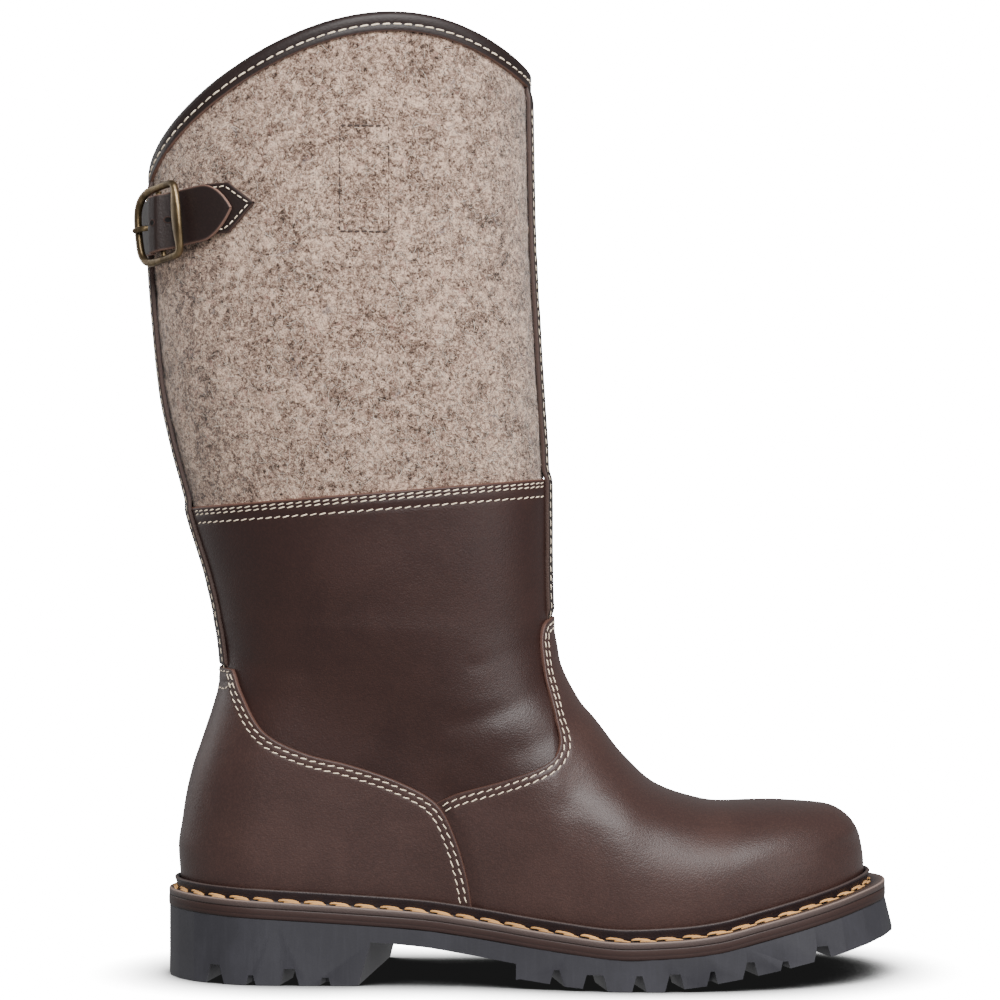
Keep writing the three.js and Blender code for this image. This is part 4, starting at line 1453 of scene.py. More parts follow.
@dataclass
class Shaft:
    """The leather quarters with their lining, the felt over them, and the strips over both seams."""

    form: BootForm
    leather: bpy.types.Material
    trim: bpy.types.Material
    felt: bpy.types.Material
    stitching: Stitching
    around: int = 360

    def quarters(self) -> bpy.types.Object:
        """Makes the leather from under the panels to its cut top edge, with three stitched rows.

        Returns:
            The object.
        """
        angle = np.arange(self.around) / self.around * 2 * np.pi
        drop = np.array([0, 0.02, 0.1, 0.3, 0.6, 1, 1.3, 1.6, 1.9, 2.35, 2.8, 3.1, 3.4, 4.6, 6.5, 7, 7.5, 9])
        sink = np.array([-2.2, -1.2, -0.5, -0.14, -0.03, 0, -0.05, -0.16, -0.05, 0.04, -0.05, -0.16, -0.05])
        sink = np.concatenate((sink, [0.05, -0.04, -0.18, -0.04, 0]))
        bare = np.concatenate(([1, 1, 0.9, 0.5, 0.1], np.zeros(len(drop) - 5)))
        ring = self.drop_rings(angle, drop)
        low = ring[-1] + (1.5 - ring[-1]) * np.linspace(0, 1, 150)[1:, None]
        rings = np.concatenate((ring, low))
        turn = np.broadcast_to(angle, rings.shape)
        depth = np.zeros(rings.shape)
        depth[: len(drop)] = sink[:, None]
        edge = np.zeros(rings.shape)
        edge[: len(drop)] = bare[:, None]
        depth += folds(self.form.dressed(turn, rings)) * np.clip(1 + depth, 0, 1)
        points = self.form.skin(turn, rings, UPPER_OUT + depth)
        faces = quads(len(rings), self.around, around=True)[:, ::-1]
        piece = make_piece("quarter_leather", points, faces, self.leather, {"edge": edge})
        for d in (1.6, 3.1, 7.0):
            row = int(np.argmin(np.abs(drop - d)))
            self.seam_row(angle, rings[row])
        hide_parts("upper")
        return piece

    def drop_rings(self, angle: np.ndarray, drop: np.ndarray) -> np.ndarray:
        """Rings at distances under the leather's top edge.

        Args:
            angle: angles in radians.
            drop: distances in millimetres.

        Returns:
            Ring numbers by drop and angle.
        """
        step = self.form.dressed(angle, SEAM_RING) - self.form.dressed(angle, SEAM_RING - 0.05)
        size = np.linalg.norm(step, axis=-1) / 0.05
        return SEAM_RING - drop[:, None] / size

    def seam_row(self, angle: np.ndarray, ring: np.ndarray) -> None:
        """Stitches one row round the leather's top, between the two strips.

        Args:
            angle: angles round the shaft.
            ring: their rings.
        """
        for low, high, slant in ((0.3, np.pi - 0.24, 0.2), (np.pi + 0.24, 2 * np.pi - 0.3, -0.2)):
            kept = (angle > low) & (angle < high)
            turn, level = angle[kept], ring[kept]
            soft = folds(self.form.dressed(turn, level))
            points = self.form.skin(turn, level, UPPER_OUT - 0.08 + soft)
            self.stitching.sew(points, self.form.outward(turn, level), slant=slant)

    def lining(self) -> bpy.types.Object:
        """Makes the inside of the leather, from the felt down to the insole.

        Returns:
            The object.
        """
        angle = np.arange(120) / 120 * 2 * np.pi
        rings = np.linspace(0.1, SEAM_RING - 0.3, 70)[:, None]
        turn, level = np.broadcast_arrays(angle, rings)
        points = self.form.skin(turn, level, np.full(level.shape, UPPER_IN))
        return make_piece("lining", points, quads(70, 120, around=True), self.leather)

    def felt_wall(self) -> bpy.types.Object:
        """Makes the felt as one closed wall: out, over its top edge and down inside.

        Its face swells in soft lumps, and is drawn in along the two sides and ends of a sewn rectangle.

        Returns:
            The object.
        """
        angle = np.arange(self.around) / self.around * 2 * np.pi
        top = self.form.under_collar(angle, 1.6)[1]
        share = np.linspace(0, 1, 185)[:, None]
        outer = 12.85 + (top - 12.85) * share
        inner = outer[::-4]
        rings = np.concatenate((outer, inner))
        turn = np.broadcast_to(angle, rings.shape)
        surface = self.form.dressed(turn, rings)
        lumps = felt_lumps(surface)
        pull = -0.55 * np.exp(-((self.patch_distance(surface) / 1.1) ** 2))
        depth = np.where(np.arange(len(rings))[:, None] < len(outer), FELT_OUT + lumps + pull, FELT_IN)
        points = self.form.skin(turn, rings, depth)
        faces = quads(len(rings), self.around, around=True)
        piece = make_piece("felt_wall", points, faces, self.felt)
        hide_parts("felt_shaft")
        return piece

    @staticmethod
    def patch_distance(points: np.ndarray) -> np.ndarray:
        """Distance in side view to the sewn rectangle, on the lateral side.

        Args:
            points: points in millimetres.

        Returns:
            Distances in millimetres, large on the medial side.
        """
        across = np.abs(points[..., 0] - 86.8) - 10.4
        over = np.abs(points[..., 2] - 332.7) - 21.7
        inside = np.maximum(across, over)
        outside = np.hypot(np.maximum(across, 0), np.maximum(over, 0))
        return np.where(points[..., 1] < 0, np.where(inside > 0, outside, -inside), 99.0)

    def on_side(self, x: np.ndarray, z: np.ndarray) -> tuple[np.ndarray, np.ndarray]:
        """Angle and ring of a place on the shaft's lateral side.

        Args:
            x: X in millimetres.
            z: Z in millimetres.

        Returns:
            Angles and ring numbers.
        """
        ring = np.full(np.shape(x), 14.5)
        for _ in range(4):
            back, front = along(self.form.column("back", ring)), along(self.form.column("front", ring))
            angle = np.arccos(np.clip(1 - 2 * (x - back) / (front - back), -1, 1))
            ring = self.form.ring_at(angle, z)
        return angle, ring

    def patch_rows(self) -> None:
        """Stitches the rectangle on the felt in dark thread."""
        left, right, low, high = 76.4, 97.2, 311.0, 354.4
        for a, b in (((left, low), (left, high)), ((right, low), (right, high))):
            self.patch_line(a, b, 0.28, 2.6)
        for a, b in (((left, low), (right, low)), ((left, high), (right, high))):
            self.patch_line(a, b, 0.42, 3.0)

    def patch_line(self, start: tuple, end: tuple, radius: float, pitch: float) -> None:
        """Stitches one side of the rectangle.

        Args:
            start: X and Z of its start.
            end: X and Z of its end.
            radius: the thread's radius.
            pitch: distance between stitches.
        """
        share = np.linspace(0, 1, 40)
        x = start[0] + (end[0] - start[0]) * share
        z = start[1] + (end[1] - start[1]) * share
        angle, ring = self.on_side(x, z)
        points = self.form.skin(angle, ring, np.full(40, FELT_OUT - 0.42))
        normals = self.form.outward(angle, ring)
        self.stitching.sew(points, normals, pitch=pitch, radius=radius, slant=0.1, thread=Thread.DARK)

    def strip(self, name: str, middle: float, width: float, rings: tuple[float, float]) -> bpy.types.Object:
        """Makes a leather strip over a seam, with cut edges and a stitched row along each.

        Args:
            name: the CAD node that it stands for.
            middle: angle of its middle.
            width: its width in millimetres.
            rings: its lowest ring, and the ring at which the panel under it ends.

        Returns:
            The object.
        """
        low, cover = rings
        high = float(self.form.under_collar(np.array([middle]), np.array([7.5]))[1][0])
        ring = np.linspace(low, high, 230)[:, None]
        half = CUT_EDGE[:12, 0]
        inner = np.linspace(half[-1], width - half[-1], 14)[1:-1]
        place = np.concatenate((half, inner, width - half[::-1])) - width / 2
        sink = np.concatenate((CUT_EDGE[:12, 1], np.full(12, 0.04), CUT_EDGE[11::-1, 1]))
        bare = 0.3 * np.concatenate((CUT_EDGE[:12, 2], np.zeros(12), CUT_EDGE[11::-1, 2]))
        angle = middle + place / (SHAFT_WIDTH * self.form.column("half", ring))
        on_felt = ease((ring - 12.96) / 0.16)
        base = -1.4 * on_felt - 1.3 * (1 - ease((ring - cover) / 0.25)) * (ring < 13)
        base = base - 1.1 * ease((ring - (high - 0.09)) / 0.09)
        level = np.broadcast_to(ring, angle.shape)
        ripple = 0.1 * noise(self.form.dressed(angle, level), 7.0, 5)
        depth = base + sink * (1 + 0.12 * on_felt) + ripple
        points = self.form.skin(angle, level, depth)
        faces = quads(len(ring), len(place), around=False)
        values = {"edge": np.tile(bare, (len(ring), 1))}
        piece = make_piece(name + "_strip", points, faces, self.trim, values)
        kept = slice(6, 224)
        for column, slant in ((FIRST_ROW, 0.2), (len(place) - 1 - FIRST_ROW, -0.2)):
            normals = self.form.outward(angle[kept, column], level[kept, column])
            self.stitching.sew(points[kept, column] + normals * 0.06, normals, slant=slant, radius=0.24)
        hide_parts(name)
        return piece

    def binding(self) -> bpy.types.Object:
        """Makes the leather folded over the collar, with its stitched row.

        Its section runs up the outside, over in a round fold, and down the inside.

        Returns:
            The object.
        """
        profile = np.array(
            [
                [8.3, -4.1, 1], [8.48, -3.4, 1], [8.5, -2.8, 0.8], [8.36, -2.45, 0.3], [8.0, -2.32, 0],
                [7.2, -2.3, 0], [6.3, -2.36, 0], [5.95, -2.46, 0], [5.7, -2.5, 0], [5.45, -2.46, 0],
                [5.1, -2.34, 0], [4.2, -2.16, 0], [3.0, -2.14, 0], [2.0, -2.3, 0], [1.2, -2.75, 0],
                [0.55, -3.5, 0], [0.18, -4.5, 0], [0.05, -5.6, 0], [0.05, -6.8, 0], [0.2, -7.9, 0],
                [0.6, -8.9, 0], [1.3, -9.6, 0], [2.4, -9.95, 0], [5.0, -10.0, 0], [8.0, -9.95, 0],
                [8.45, -9.7, 0.6], [8.4, -8.6, 1],
            ]
        )
        angle = np.arange(self.around) / self.around * 2 * np.pi
        drop, depth, bare = (np.repeat(c[:, None], self.around, 1) for c in profile.T)
        turn, level = self.form.under_collar(np.broadcast_to(angle, drop.shape), drop)
        wave = 0.12 * noise(self.form.dressed(turn, level), 11.0, 8)
        points = self.form.skin(turn, level, depth + wave)
        faces = quads(len(profile), self.around, around=True)
        piece = make_piece("collar_binding", points, faces, self.trim, {"edge": bare})
        row = int(np.argmin(np.abs(profile[:, 0] - 5.7) + (profile[:, 1] < -3)))
        closed = np.append(np.arange(self.around), 0)
        normals = self.form.outward(turn[row, closed], level[row, closed])
        self.stitching.sew(points[row, closed] + normals * 0.12, normals, pitch=4.6, radius=0.36, slant=0.06)
        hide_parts("top_binding")
        return piece


# Felt fibres


@dataclass
class Fleece:
    """Loose wool fibres on the felt's face: thin curved ribbons, most of them lying on it."""

    form: BootForm
    shaft: Shaft
    count: int = 34000
    stations: int = 5

    def build(self, material: bpy.types.Material) -> bpy.types.Object:
        """Makes the fibres.

        Each starts at a random place, turns evenly along its length, and lifts off the felt between its
        ends.

        Args:
            material: the fibres' finish.

        Returns:
            The object.
        """
        rng = np.random.default_rng(71)
        n = self.count
        angle = rng.uniform(0, 2 * np.pi, n)
        top = self.form.under_collar(angle, 8.6)[1]
        ring = 13.06 + (top - 13.06) * rng.uniform(0, 1, n)
        turn = self.form.dressed(angle + 0.01, ring) - self.form.dressed(angle - 0.01, ring)
        rise = self.form.dressed(angle, ring + 0.01) - self.form.dressed(angle, ring - 0.01)
        around = 0.02 / np.linalg.norm(turn, axis=1)
        upward = 0.02 / np.linalg.norm(rise, axis=1)
        length = rng.gamma(3.0, 0.75, n)
        heading = rng.uniform(0, 2 * np.pi, n)
        curl = rng.normal(0, 0.8, n)
        s = np.linspace(0, 1, self.stations)
        way = heading[:, None] + curl[:, None] * s
        step = length[:, None] / (self.stations - 1)
        across = np.cumsum(np.cos(way) * step, 1) * around[:, None]
        along_up = np.cumsum(np.sin(way) * step, 1) * upward[:, None]
        angles = angle[:, None] + across
        rings = np.clip(ring[:, None] + along_up, 13.02, np.minimum(top, 15.97)[:, None])
        surface = self.form.dressed(angles, rings)
        lumps = felt_lumps(surface)
        stand = np.where(rng.uniform(0, 1, n) < 0.05, rng.uniform(0.5, 1.4, n), rng.uniform(0.03, 0.25, n))
        lift = 0.04 + stand[:, None] * np.sin(np.pi * np.clip(s, 0, 0.85))
        pull = -0.5 * np.exp(-((self.shaft.patch_distance(surface) / 1.1) ** 2))
        normals = self.form.outward(angles, rings)
        centre = surface + normals * (FELT_OUT + lumps + pull + lift)[..., None]
        run = unit(np.gradient(centre, axis=1))
        wide = rng.uniform(0.03, 0.065, n)[:, None, None] * np.array([0.6, 1, 1, 1, 0.4])[None, :, None]
        side = unit(np.cross(normals, run)) * wide
        points = np.stack([centre - side, centre + side], 2)
        one = quads(self.stations, 2)
        faces = (one[None] + np.arange(n)[:, None, None] * (2 * self.stations)).reshape(-1, 4)
        tone = np.where(rng.uniform(0, 1, n) < 0.5, rng.uniform(0.5, 1, n), rng.uniform(0, 0.35, n))
        values = {"tone": np.repeat(tone, 2 * self.stations)}
        return make_piece("felt_fibres", points, faces, material, values)


# Sole


@dataclass
class Sole:
    """Storm welt, midsole edge and rubber, with the welt's stitching."""

    form: BootForm
    welt_leather: bpy.types.Material
    edge: bpy.types.Material
    rubber: bpy.types.Material
    around: int = 480

    def __post_init__(self) -> None:
        """Reads the outline's angles and margins."""
        self.angle = np.arange(self.around) / self.around * 2 * np.pi
        t = (1 - np.cos(self.angle)) / 2
        rear = HEEL_MARGIN + ease(2 * t)
        self.margin = rear + (TOE_MARGIN - rear) * ease((t - 0.6) / 0.4)

    def level(self, out: np.ndarray, over: float) -> np.ndarray:
        """A line round the foot at a height over the bed.

        Args:
            out: distance out of the feather line at each angle.
            over: height over the bed.

        Returns:
            Points in millimetres.
        """
        points = self.form.skin(self.angle, np.zeros(self.around), np.broadcast_to(out, self.angle.shape))
        points[:, 2] = bed(points[:, 0]) + over
        return points

    def lip(self, height: float, out: float) -> np.ndarray:
        """A line round the foot that follows the upper.

        Args:
            height: height over the bed.
            out: distance off the dressed surface.

        Returns:
            Points in millimetres.
        """
        wave = 0.16 * noise(self.form.dressed(self.angle, 0.5), 9.0, 21) * (height / 8) ** 2
        return self.form.skin(self.angle, np.full(self.around, height / 8.505), out + wave)

    def welt(self) -> bpy.types.Object:
        """Makes the storm welt: a flange with a channel for the stitches, and a lip with a rolled edge.

        Returns:
            The object.
        """
        m = self.margin
        flange = [
            (0.35 + 0 * m, 0.3),
            (m - 0.3, 0.3),
            (m - 0.05, 0.4),
            (m + 0.02, 0.8),
            (m + 0.06, 1.6),
            (m + 0.0, 2.4),
            (m - 0.2, 2.84),
            (m - 0.6, 3.0),
            (m - 1.3, 3.03),
            (0 * m + 4.6, 2.98),
            (0 * m + 4.1, 2.74),
            (0 * m + 3.3, 2.6),
            (0 * m + 2.6, 2.8),
        ]
        lip = [
            (3.5, 2.2), (4.4, 2.08), (5.8, 2.22), (7.0, 2.5), (7.6, 2.56), (7.9, 2.3), (8.0, 1.8),
            (7.9, 1.2), (7.4, 0.7), (5.0, 0.45), (3.0, 0.36),
        ]
        rows = [self.level(out, over) for out, over in flange] + [self.lip(h, out) for h, out in lip]
        bare = np.zeros(len(rows))
        # Bareness lightens rows toward the pale cut colour: rows 2 to 5 are the flange's cut edge; rows 6 to
        # 8, its upper corner, are a painted highlight; rows 18 and 19, the lip's rolled top, are partly its
        # cut edge and partly a painted highlight.
        bare[2:9] = (0.1, 0.15, 0.2, 0.25, 0.9, 1.0, 0.3)
        bare[18:20] = 0.2
        faces = quads(len(rows), self.around, around=True, over=True)
        values = {"edge": np.repeat(bare, self.around)}
        piece = make_piece("storm_welt", np.array(rows), faces, self.welt_leather, values)
        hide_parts("welt")
        return piece

    def midsole(self) -> bpy.types.Object:
        """Makes the midsole's dressed edge, with faint ridges along it.

        Returns:
            The object.
        """
        m = self.margin
        profile = [
            (m - 16, -4.0),
            (m - 0.3, -4.28),
            (m + 0.02, -4.05),
            (m + 0.1, -3.6),
            (m + 0.16, -2.7),
            (m + 0.08, -2.3),
            (m + 0.16, -1.9),
            (m + 0.14, -0.9),
            (m + 0.08, -0.4),
            (m + 0.02, 0.1),
            (m - 0.25, 0.29),
            (m - 16, 0.0),
        ]
        rows = np.array([self.level(out, over) for out, over in profile])
        bare = np.repeat(np.array([0, 0, 0, 0.1, 0.2, 0, 0.2, 0.2, 0.3, 0.1, 0, 0]), self.around)
        faces = quads(len(rows), self.around, around=True, over=True)
        piece = make_piece("midsole_edge", rows, faces, self.edge, {"edge": bare})
        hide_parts("midsole")
        return piece

    def outsole(self, node: bpy.types.Object) -> bpy.types.Object:
        """Makes the rubber from a merged copy of its CAD node, with rounded moulded corners.

        Args:
            node: the CAD node.

        Returns:
            The object.
        """
        mesh = node.data.copy()
        mesh.name = "lugged_rubber"
        piece = bpy.data.objects.new("lugged_rubber", mesh)
        bpy.context.scene.collection.objects.link(piece)
        work = bmesh.new()
        work.from_mesh(mesh)
        bmesh.ops.remove_doubles(work, verts=work.verts, dist=2e-6)
        bmesh.ops.dissolve_limit(work, angle_limit=0.006, verts=work.verts, edges=work.edges)
        work.to_mesh(mesh)
        work.free()
        mesh.materials.clear()
        mesh.materials.append(self.rubber)
        mesh.polygons.foreach_set("use_smooth", np.ones(len(mesh.polygons), dtype=bool))
        mesh.set_sharp_from_angle(angle=0.6)
        bevel = piece.modifiers.new("corners", "BEVEL")
        bevel.width = 0.55 * METRE
        bevel.segments = 2
        bevel.limit_method = "ANGLE"
        bevel.angle_limit = 0.6
        bevel.harden_normals = False
        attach(piece, "root")
        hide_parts("outsole")
        LOG.info("lugged_rubber: %d faces", len(mesh.polygons))
        return piece

    def rope(self, stitching: Stitching) -> None:
        """Stitches the welt in thick double thread, one strand beside and behind the other.

        Args:
            stitching: where the rows go.
        """
        for out, over, shift, radius, fill in ((3.25, 3.6, 0, 0.66, 0.8), (4.35, 3.1, 3, 0.48, 0.66)):
            line = self.level(np.full(self.around, out), over)
            order = (np.arange(self.around + 1) + shift) % self.around
            normal = self.form.outward(self.angle, np.zeros(self.around)) + np.array([0, 0, 1.1])
            stitching.sew(
                line[order],
                unit(normal[order]),
                pitch=10.6,
                fill=fill,
                radius=radius,
                slant=-0.07,
                thread=Thread.WELT,
            )


# Strap and buckle


@dataclass
class Fastening:
    """The rear strap, its anchor tab, and the brass buckle with its prong."""

    form: BootForm
    trim: bpy.types.Material
    brass: bpy.types.Material
    dark: bpy.types.Material
    stitching: Stitching

    def __post_init__(self) -> None:
        """Measures the shaft round the strap's line, and sets the buckle's own axes."""
        angle = np.linspace(BUCKLE_ANGLE - 1.6, BUCKLE_ANGLE + 1.0, 400)
        line = self.form.on_shaft(angle, np.full(400, STRAP_HEIGHT), np.full(400, FELT_OUT))
        length = np.concatenate(([0.0], np.cumsum(np.linalg.norm(np.diff(line, axis=0), axis=1))))
        self.distance = length - np.interp(BUCKLE_ANGLE, angle, length)
        self.turn = angle
        ring = self.form.ring_at(np.array([BUCKLE_ANGLE]), np.array([STRAP_HEIGHT]))
        places = (np.full(2, STRAP_HEIGHT), np.full(2, FELT_OUT))
        origin, ahead_point = self.form.on_shaft(BUCKLE_ANGLE + np.array([0.0, 0.02]), *places)
        out = self.form.outward(np.array([BUCKLE_ANGLE]), ring)[0]
        up = unit(np.cross(out, ahead_point - origin))
        ahead = np.cross(up, out)
        lean = 0.14
        self.origin, self.out = origin, out
        self.ahead = ahead * np.cos(lean) + up * np.sin(lean)
        self.up = up * np.cos(lean) - ahead * np.sin(lean)

    def band(self, distance: np.ndarray, rise: np.ndarray, lift: np.ndarray) -> np.ndarray:
        """Points on a band round the shaft.

        Args:
            distance: distance along the strap's line from the buckle's middle.
            rise: height over the strap's middle.
            lift: distance off the felt.

        Returns:
            Points in millimetres.
        """
        distance, rise, lift = np.broadcast_arrays(distance, rise, lift)
        angle = np.interp(distance, self.distance, self.turn)
        return self.form.on_shaft(angle, STRAP_HEIGHT + rise, FELT_OUT + lift)

    def local(self, points: np.ndarray) -> np.ndarray:
        """Places points of the buckle's own frame.

        Args:
            points: along the strap, up, and out from the felt.

        Returns:
            Points in the drawing frame.
        """
        return self.origin + points @ np.stack([self.ahead, self.up, self.out])

    def ribbon(
        self, place: np.ndarray, half: np.ndarray, lift: np.ndarray, thick: float, middle: np.ndarray
    ) -> tuple[np.ndarray, np.ndarray, np.ndarray]:
        """A closed flat band with softly rounded corners and bare cut sides.

        Args:
            place: distances along the strap's line.
            half: half width at each.
            lift: underside over the felt at each.
            thick: its thickness.
            middle: height of its middle over the strap's middle, at each.

        Returns:
            Points, faces and the bareness of each point.
        """
        t = thick
        side = [(0.5, 0.0, 0), (0.1, 0.12, 0.7), (0.0, 0.4, 1), (0.0, t - 0.45, 1), (0.07, t - 0.18, 0.8)]
        side += [(0.35, t - 0.03, 0.2), (0.9, t, 0.0), (2.2, t + 0.03, 0.0), (5.0, t + 0.08, 0.0)]
        inset = np.array([s[0] for s in side])
        over = np.array([s[1] for s in side])
        bare = np.array([s[2] for s in side])
        inset = np.minimum(inset, half[:, None] * 0.95)
        left = -half[:, None] + inset
        rise = np.concatenate((left, -left[:, ::-1]), 1) + middle[:, None]
        height = np.concatenate((over, over[::-1]))[None, :] + lift[:, None]
        points = self.band(np.broadcast_to(place[:, None], rise.shape), rise, height)
        faces = quads(len(place), rise.shape[1], around=True)
        return points, faces, np.tile(np.concatenate((bare, bare[::-1])), len(place))

    def strap(self) -> bpy.types.Object:
        """Makes the strap, from the sewn end on the medial side to its pointed end.

        Returns:
            The object.
        """
        tip = 14.0
        rounded = 20 + tip * np.sin(np.linspace(0, np.pi / 2, 26)[1:])
        place = np.concatenate((np.linspace(-76, 20, 130), rounded))
        lift = hermite(STRAP_PATH[:, 0], STRAP_PATH[:, 1], place)
        point = np.clip((place - 20) / tip, 0, 1)
        half = STRAP_WIDTH / 2 * (1 - point**2.1) ** 0.9 + 0.15
        points, faces, bare = self.ribbon(place, half, lift, STRAP_THICK, self.sag(place))
        piece = make_piece("rear_strap", points, faces, self.trim, {"edge": bare})
        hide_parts("strap")
        for distance in (-73.5, -61.0):
            self.sew_line(np.full(20, distance), np.linspace(-9.3, 9.3, 20), 0.3 + STRAP_THICK)
        for rise in (-9.5, 9.5):
            self.sew_line(np.linspace(-73.5, -61, 20), np.full(20, rise), 0.3 + STRAP_THICK)
        return piece

    @staticmethod
    def sag(place: np.ndarray) -> np.ndarray:
        """Height of the strap's middle line over its level, lowest at the buckle and rising to its tip.

        Args:
            place: distances along the strap's line.

        Returns:
            Heights in millimetres.
        """
        height = np.array([0, BUCKLE_DROP, BUCKLE_DROP, 0, 3.0])
        return hermite(np.array([-44.0, -12, -3, 11, 34]), height, place)

    def sew_line(self, distance: np.ndarray, rise: np.ndarray, lift: float) -> None:
        """Stitches a line on the strap or tab.

        Args:
            distance: distances along the strap's line.
            rise: heights over the strap's middle.
            lift: distance off the felt.
        """
        points = self.band(distance, rise, np.full(len(distance), lift))
        angle = np.interp(distance, self.distance, self.turn)
        normals = self.form.outward(angle, self.form.ring_at(angle, STRAP_HEIGHT + rise))
        self.stitching.sew(points, normals, pitch=3.2, fill=0.66, slant=0.05)

    def holes(self) -> bpy.types.Object:
        """Makes the strap's holes: each a near-black disc of painted shade where the punch went through, with
        a pressed rim.

        Returns:
            The object.
        """
        radius = np.array([0.02, 0.75, 0.98, 1.12, 1.3, 1.5])
        over = np.array([0.03, 0.03, 0.05, 0.16, 0.14, 0.0])
        # Tone 0, near black, paints the shade down in each hole; tone 1 is the rim's leather.
        tone = np.array([0, 0, 0.1, 0.8, 1, 1.0])
        turn = np.arange(20) / 20 * 2 * np.pi
        points = []
        for distance in (0.6, 5.9, -21.5):
            place = distance + radius[:, None] * np.cos(turn)
            lift = hermite(STRAP_PATH[:, 0], STRAP_PATH[:, 1], place.ravel()).reshape(place.shape)
            height = 0.3 + self.sag(np.full(1, distance)) + radius[:, None] * np.sin(turn)
            points.append(self.band(place, height, lift + STRAP_THICK + 0.08 + over[:, None]))
        one = quads(len(radius), 20, around=True)
        faces = (one[None] + np.arange(len(points))[:, None, None] * len(radius) * 20).reshape(-1, 4)
        values = {"tone": np.tile(np.repeat(tone, 20), len(points))}
        return make_piece("strap_holes", np.array(points), faces, self.dark, values)

    def anchor(self) -> bpy.types.Object:
        """Makes the pointed tab and the loop round the buckle's pin.

        Returns:
            The object.
        """
        path = [[1.5, 2.9, 0.9], [5, 1.6, 0.95], [9, 0.4, 1], [22, 0.4, 1], [32, 0.4, 0.98], [43, 0.4, 0.02]]
        path = np.array(path)
        place = np.linspace(1.5, 43, 70)
        lift = hermite(path[:, 0], path[:, 1], place)
        half = 10.5 * np.interp(place, path[:, 0], path[:, 2]) + 0.1
        middle = self.tab_middle(place)
        points, faces, bare = self.ribbon(place, half, lift, 2.0, middle)
        turn = np.arange(16) / 16 * 2 * np.pi
        ends = np.array([-9.9, -9.9, -9.6, 9.6, 9.9, 9.9])[:, None]
        size = np.array([1.7, 2.4, 2.7, 2.7, 2.4, 1.7])[:, None]
        ring = np.stack([size * np.cos(turn), ends + 0 * turn, 5.4 + size * np.sin(turn)], -1)
        loop = self.local(ring)
        joined = np.concatenate((points.reshape(-1, 3), loop.reshape(-1, 3)))
        more = quads(6, 16, around=True)[:, ::-1] + len(points.reshape(-1, 3))
        values = {"edge": np.concatenate((bare * 0.3, np.repeat([1, 0.6, 0, 0, 0.6, 1], 16)))}
        piece = make_piece("anchor_tab", joined, np.concatenate((faces, more)), self.trim, values)
        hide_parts("strap_anchor")
        for side in (1, -1):
            border = resample(np.array([[12, 8.8], [30.8, 8.8], [41.0, 0.2]]) * [1, side], step=0.5)[0]
            self.sew_line(border[:, 0], border[:, 1] + self.tab_middle(border[:, 0]), 2.5)
        return piece

    @staticmethod
    def tab_middle(place: np.ndarray) -> np.ndarray:
        """Height of the tab's middle line over the strap's level.

        Args:
            place: distances along the strap's line.

        Returns:
            Heights in millimetres.
        """
        return hermite(np.array([-5.0, 0, 20, 31, 44]), np.array([-1.0, 0, 2.8, 3.4, 5.2]), place)

    def buckle(self) -> bpy.types.Object:
        """Makes the buckle's frame: an oval rod bent to a D, with a broad near bar.

        The D is a superellipse: nearly square on the near bar's side, and full on the far one's.

        Returns:
            The object.
        """
        turn = np.linspace(0, 2 * np.pi, 241)
        power = np.where(np.cos(turn) > 0, 0.2, np.where(np.sin(turn) > 0, 0.72, 0.56))
        x = np.sign(np.cos(turn)) * np.abs(np.cos(turn)) ** power * 13.9
        y = np.sign(np.sin(turn)) * np.abs(np.sin(turn)) ** power * 15.2
        path = resample(np.stack([x, y], -1), step=1.1)[0][:-1]
        run = unit(np.roll(path, -1, 0) - np.roll(path, 1, 0))
        normal = np.stack([run[:, 1], -run[:, 0]], -1)
        near = ease((path[:, 0] - 6) / 5)
        long_bar = 1 - ease((np.abs(path[:, 1]) - 3) / 12)
        half = 1.45 + 0.2 * ease(-path[:, 0] / 6) + 1.35 * near * long_bar
        bow = 0.5 * near * long_bar
        turn = np.arange(14) / 14 * 2 * np.pi
        flat = np.sign(np.cos(turn)) * np.abs(np.cos(turn)) ** 0.8
        across = path[:, None] + normal[:, None] * (flat[None, :] * half[:, None])[..., None]
        over = 7.15 + bow[:, None] + 1.5 * np.sign(np.sin(turn)) * np.abs(np.sin(turn)) ** 0.85
        over = over + 0.06 * noise(np.concatenate((across, over[..., None]), -1), 2.5, 31)
        across = across + np.array([0.0, BUCKLE_DROP])
        frame = self.local(np.concatenate((across, over[..., None]), -1))
        around = np.arange(10) / 10 * 2 * np.pi
        ends = np.linspace(-14, 14, 8)[:, None] + BUCKLE_DROP
        pin = [1.3 * np.cos(around) + 0 * ends, ends + 0 * around, 5.4 + 1.3 * np.sin(around) + 0 * ends]
        pin = np.stack(pin, -1)
        faces = quads(len(path), 14, around=True, over=True)
        joined = np.concatenate((frame.reshape(-1, 3), self.local(pin).reshape(-1, 3)))
        faces = np.concatenate((faces, quads(8, 10, around=True) + frame.reshape(-1, 3).shape[0]))
        piece = make_piece("brass_buckle", joined, faces, self.brass)
        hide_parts("buckle_frame")
        return piece

    def prong(self) -> bpy.types.Object:
        """Makes the prong, which comes out of the strap's hole and rests on the far bar.

        Returns:
            The object.
        """
        path = spline(np.array([[-5.6, 6.2], [-7.5, 8.2], [-10.5, 9.5], [-13.2, 9.8], [-13.9, 9.6]]), 6)
        size = np.interp(path[:, 0], [-13.95, -13.6, -12.7, -4, 1.4], [0.3, 0.9, 1.1, 1.1, 1.1])
        turn = np.arange(12) / 12 * 2 * np.pi
        points = np.stack(
            [
                path[:, :1] + 0 * turn,
                size[:, None] * 1.1 * np.cos(turn) + BUCKLE_DROP,
                path[:, 1:] + size[:, None] * 0.9 * np.sin(turn),
            ],
            -1,
        )
        faces = quads(len(path), 12, around=True)
        piece = make_piece("brass_prong", self.local(points), faces, self.brass)
        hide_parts("buckle_prong")
        return piece


# Studio


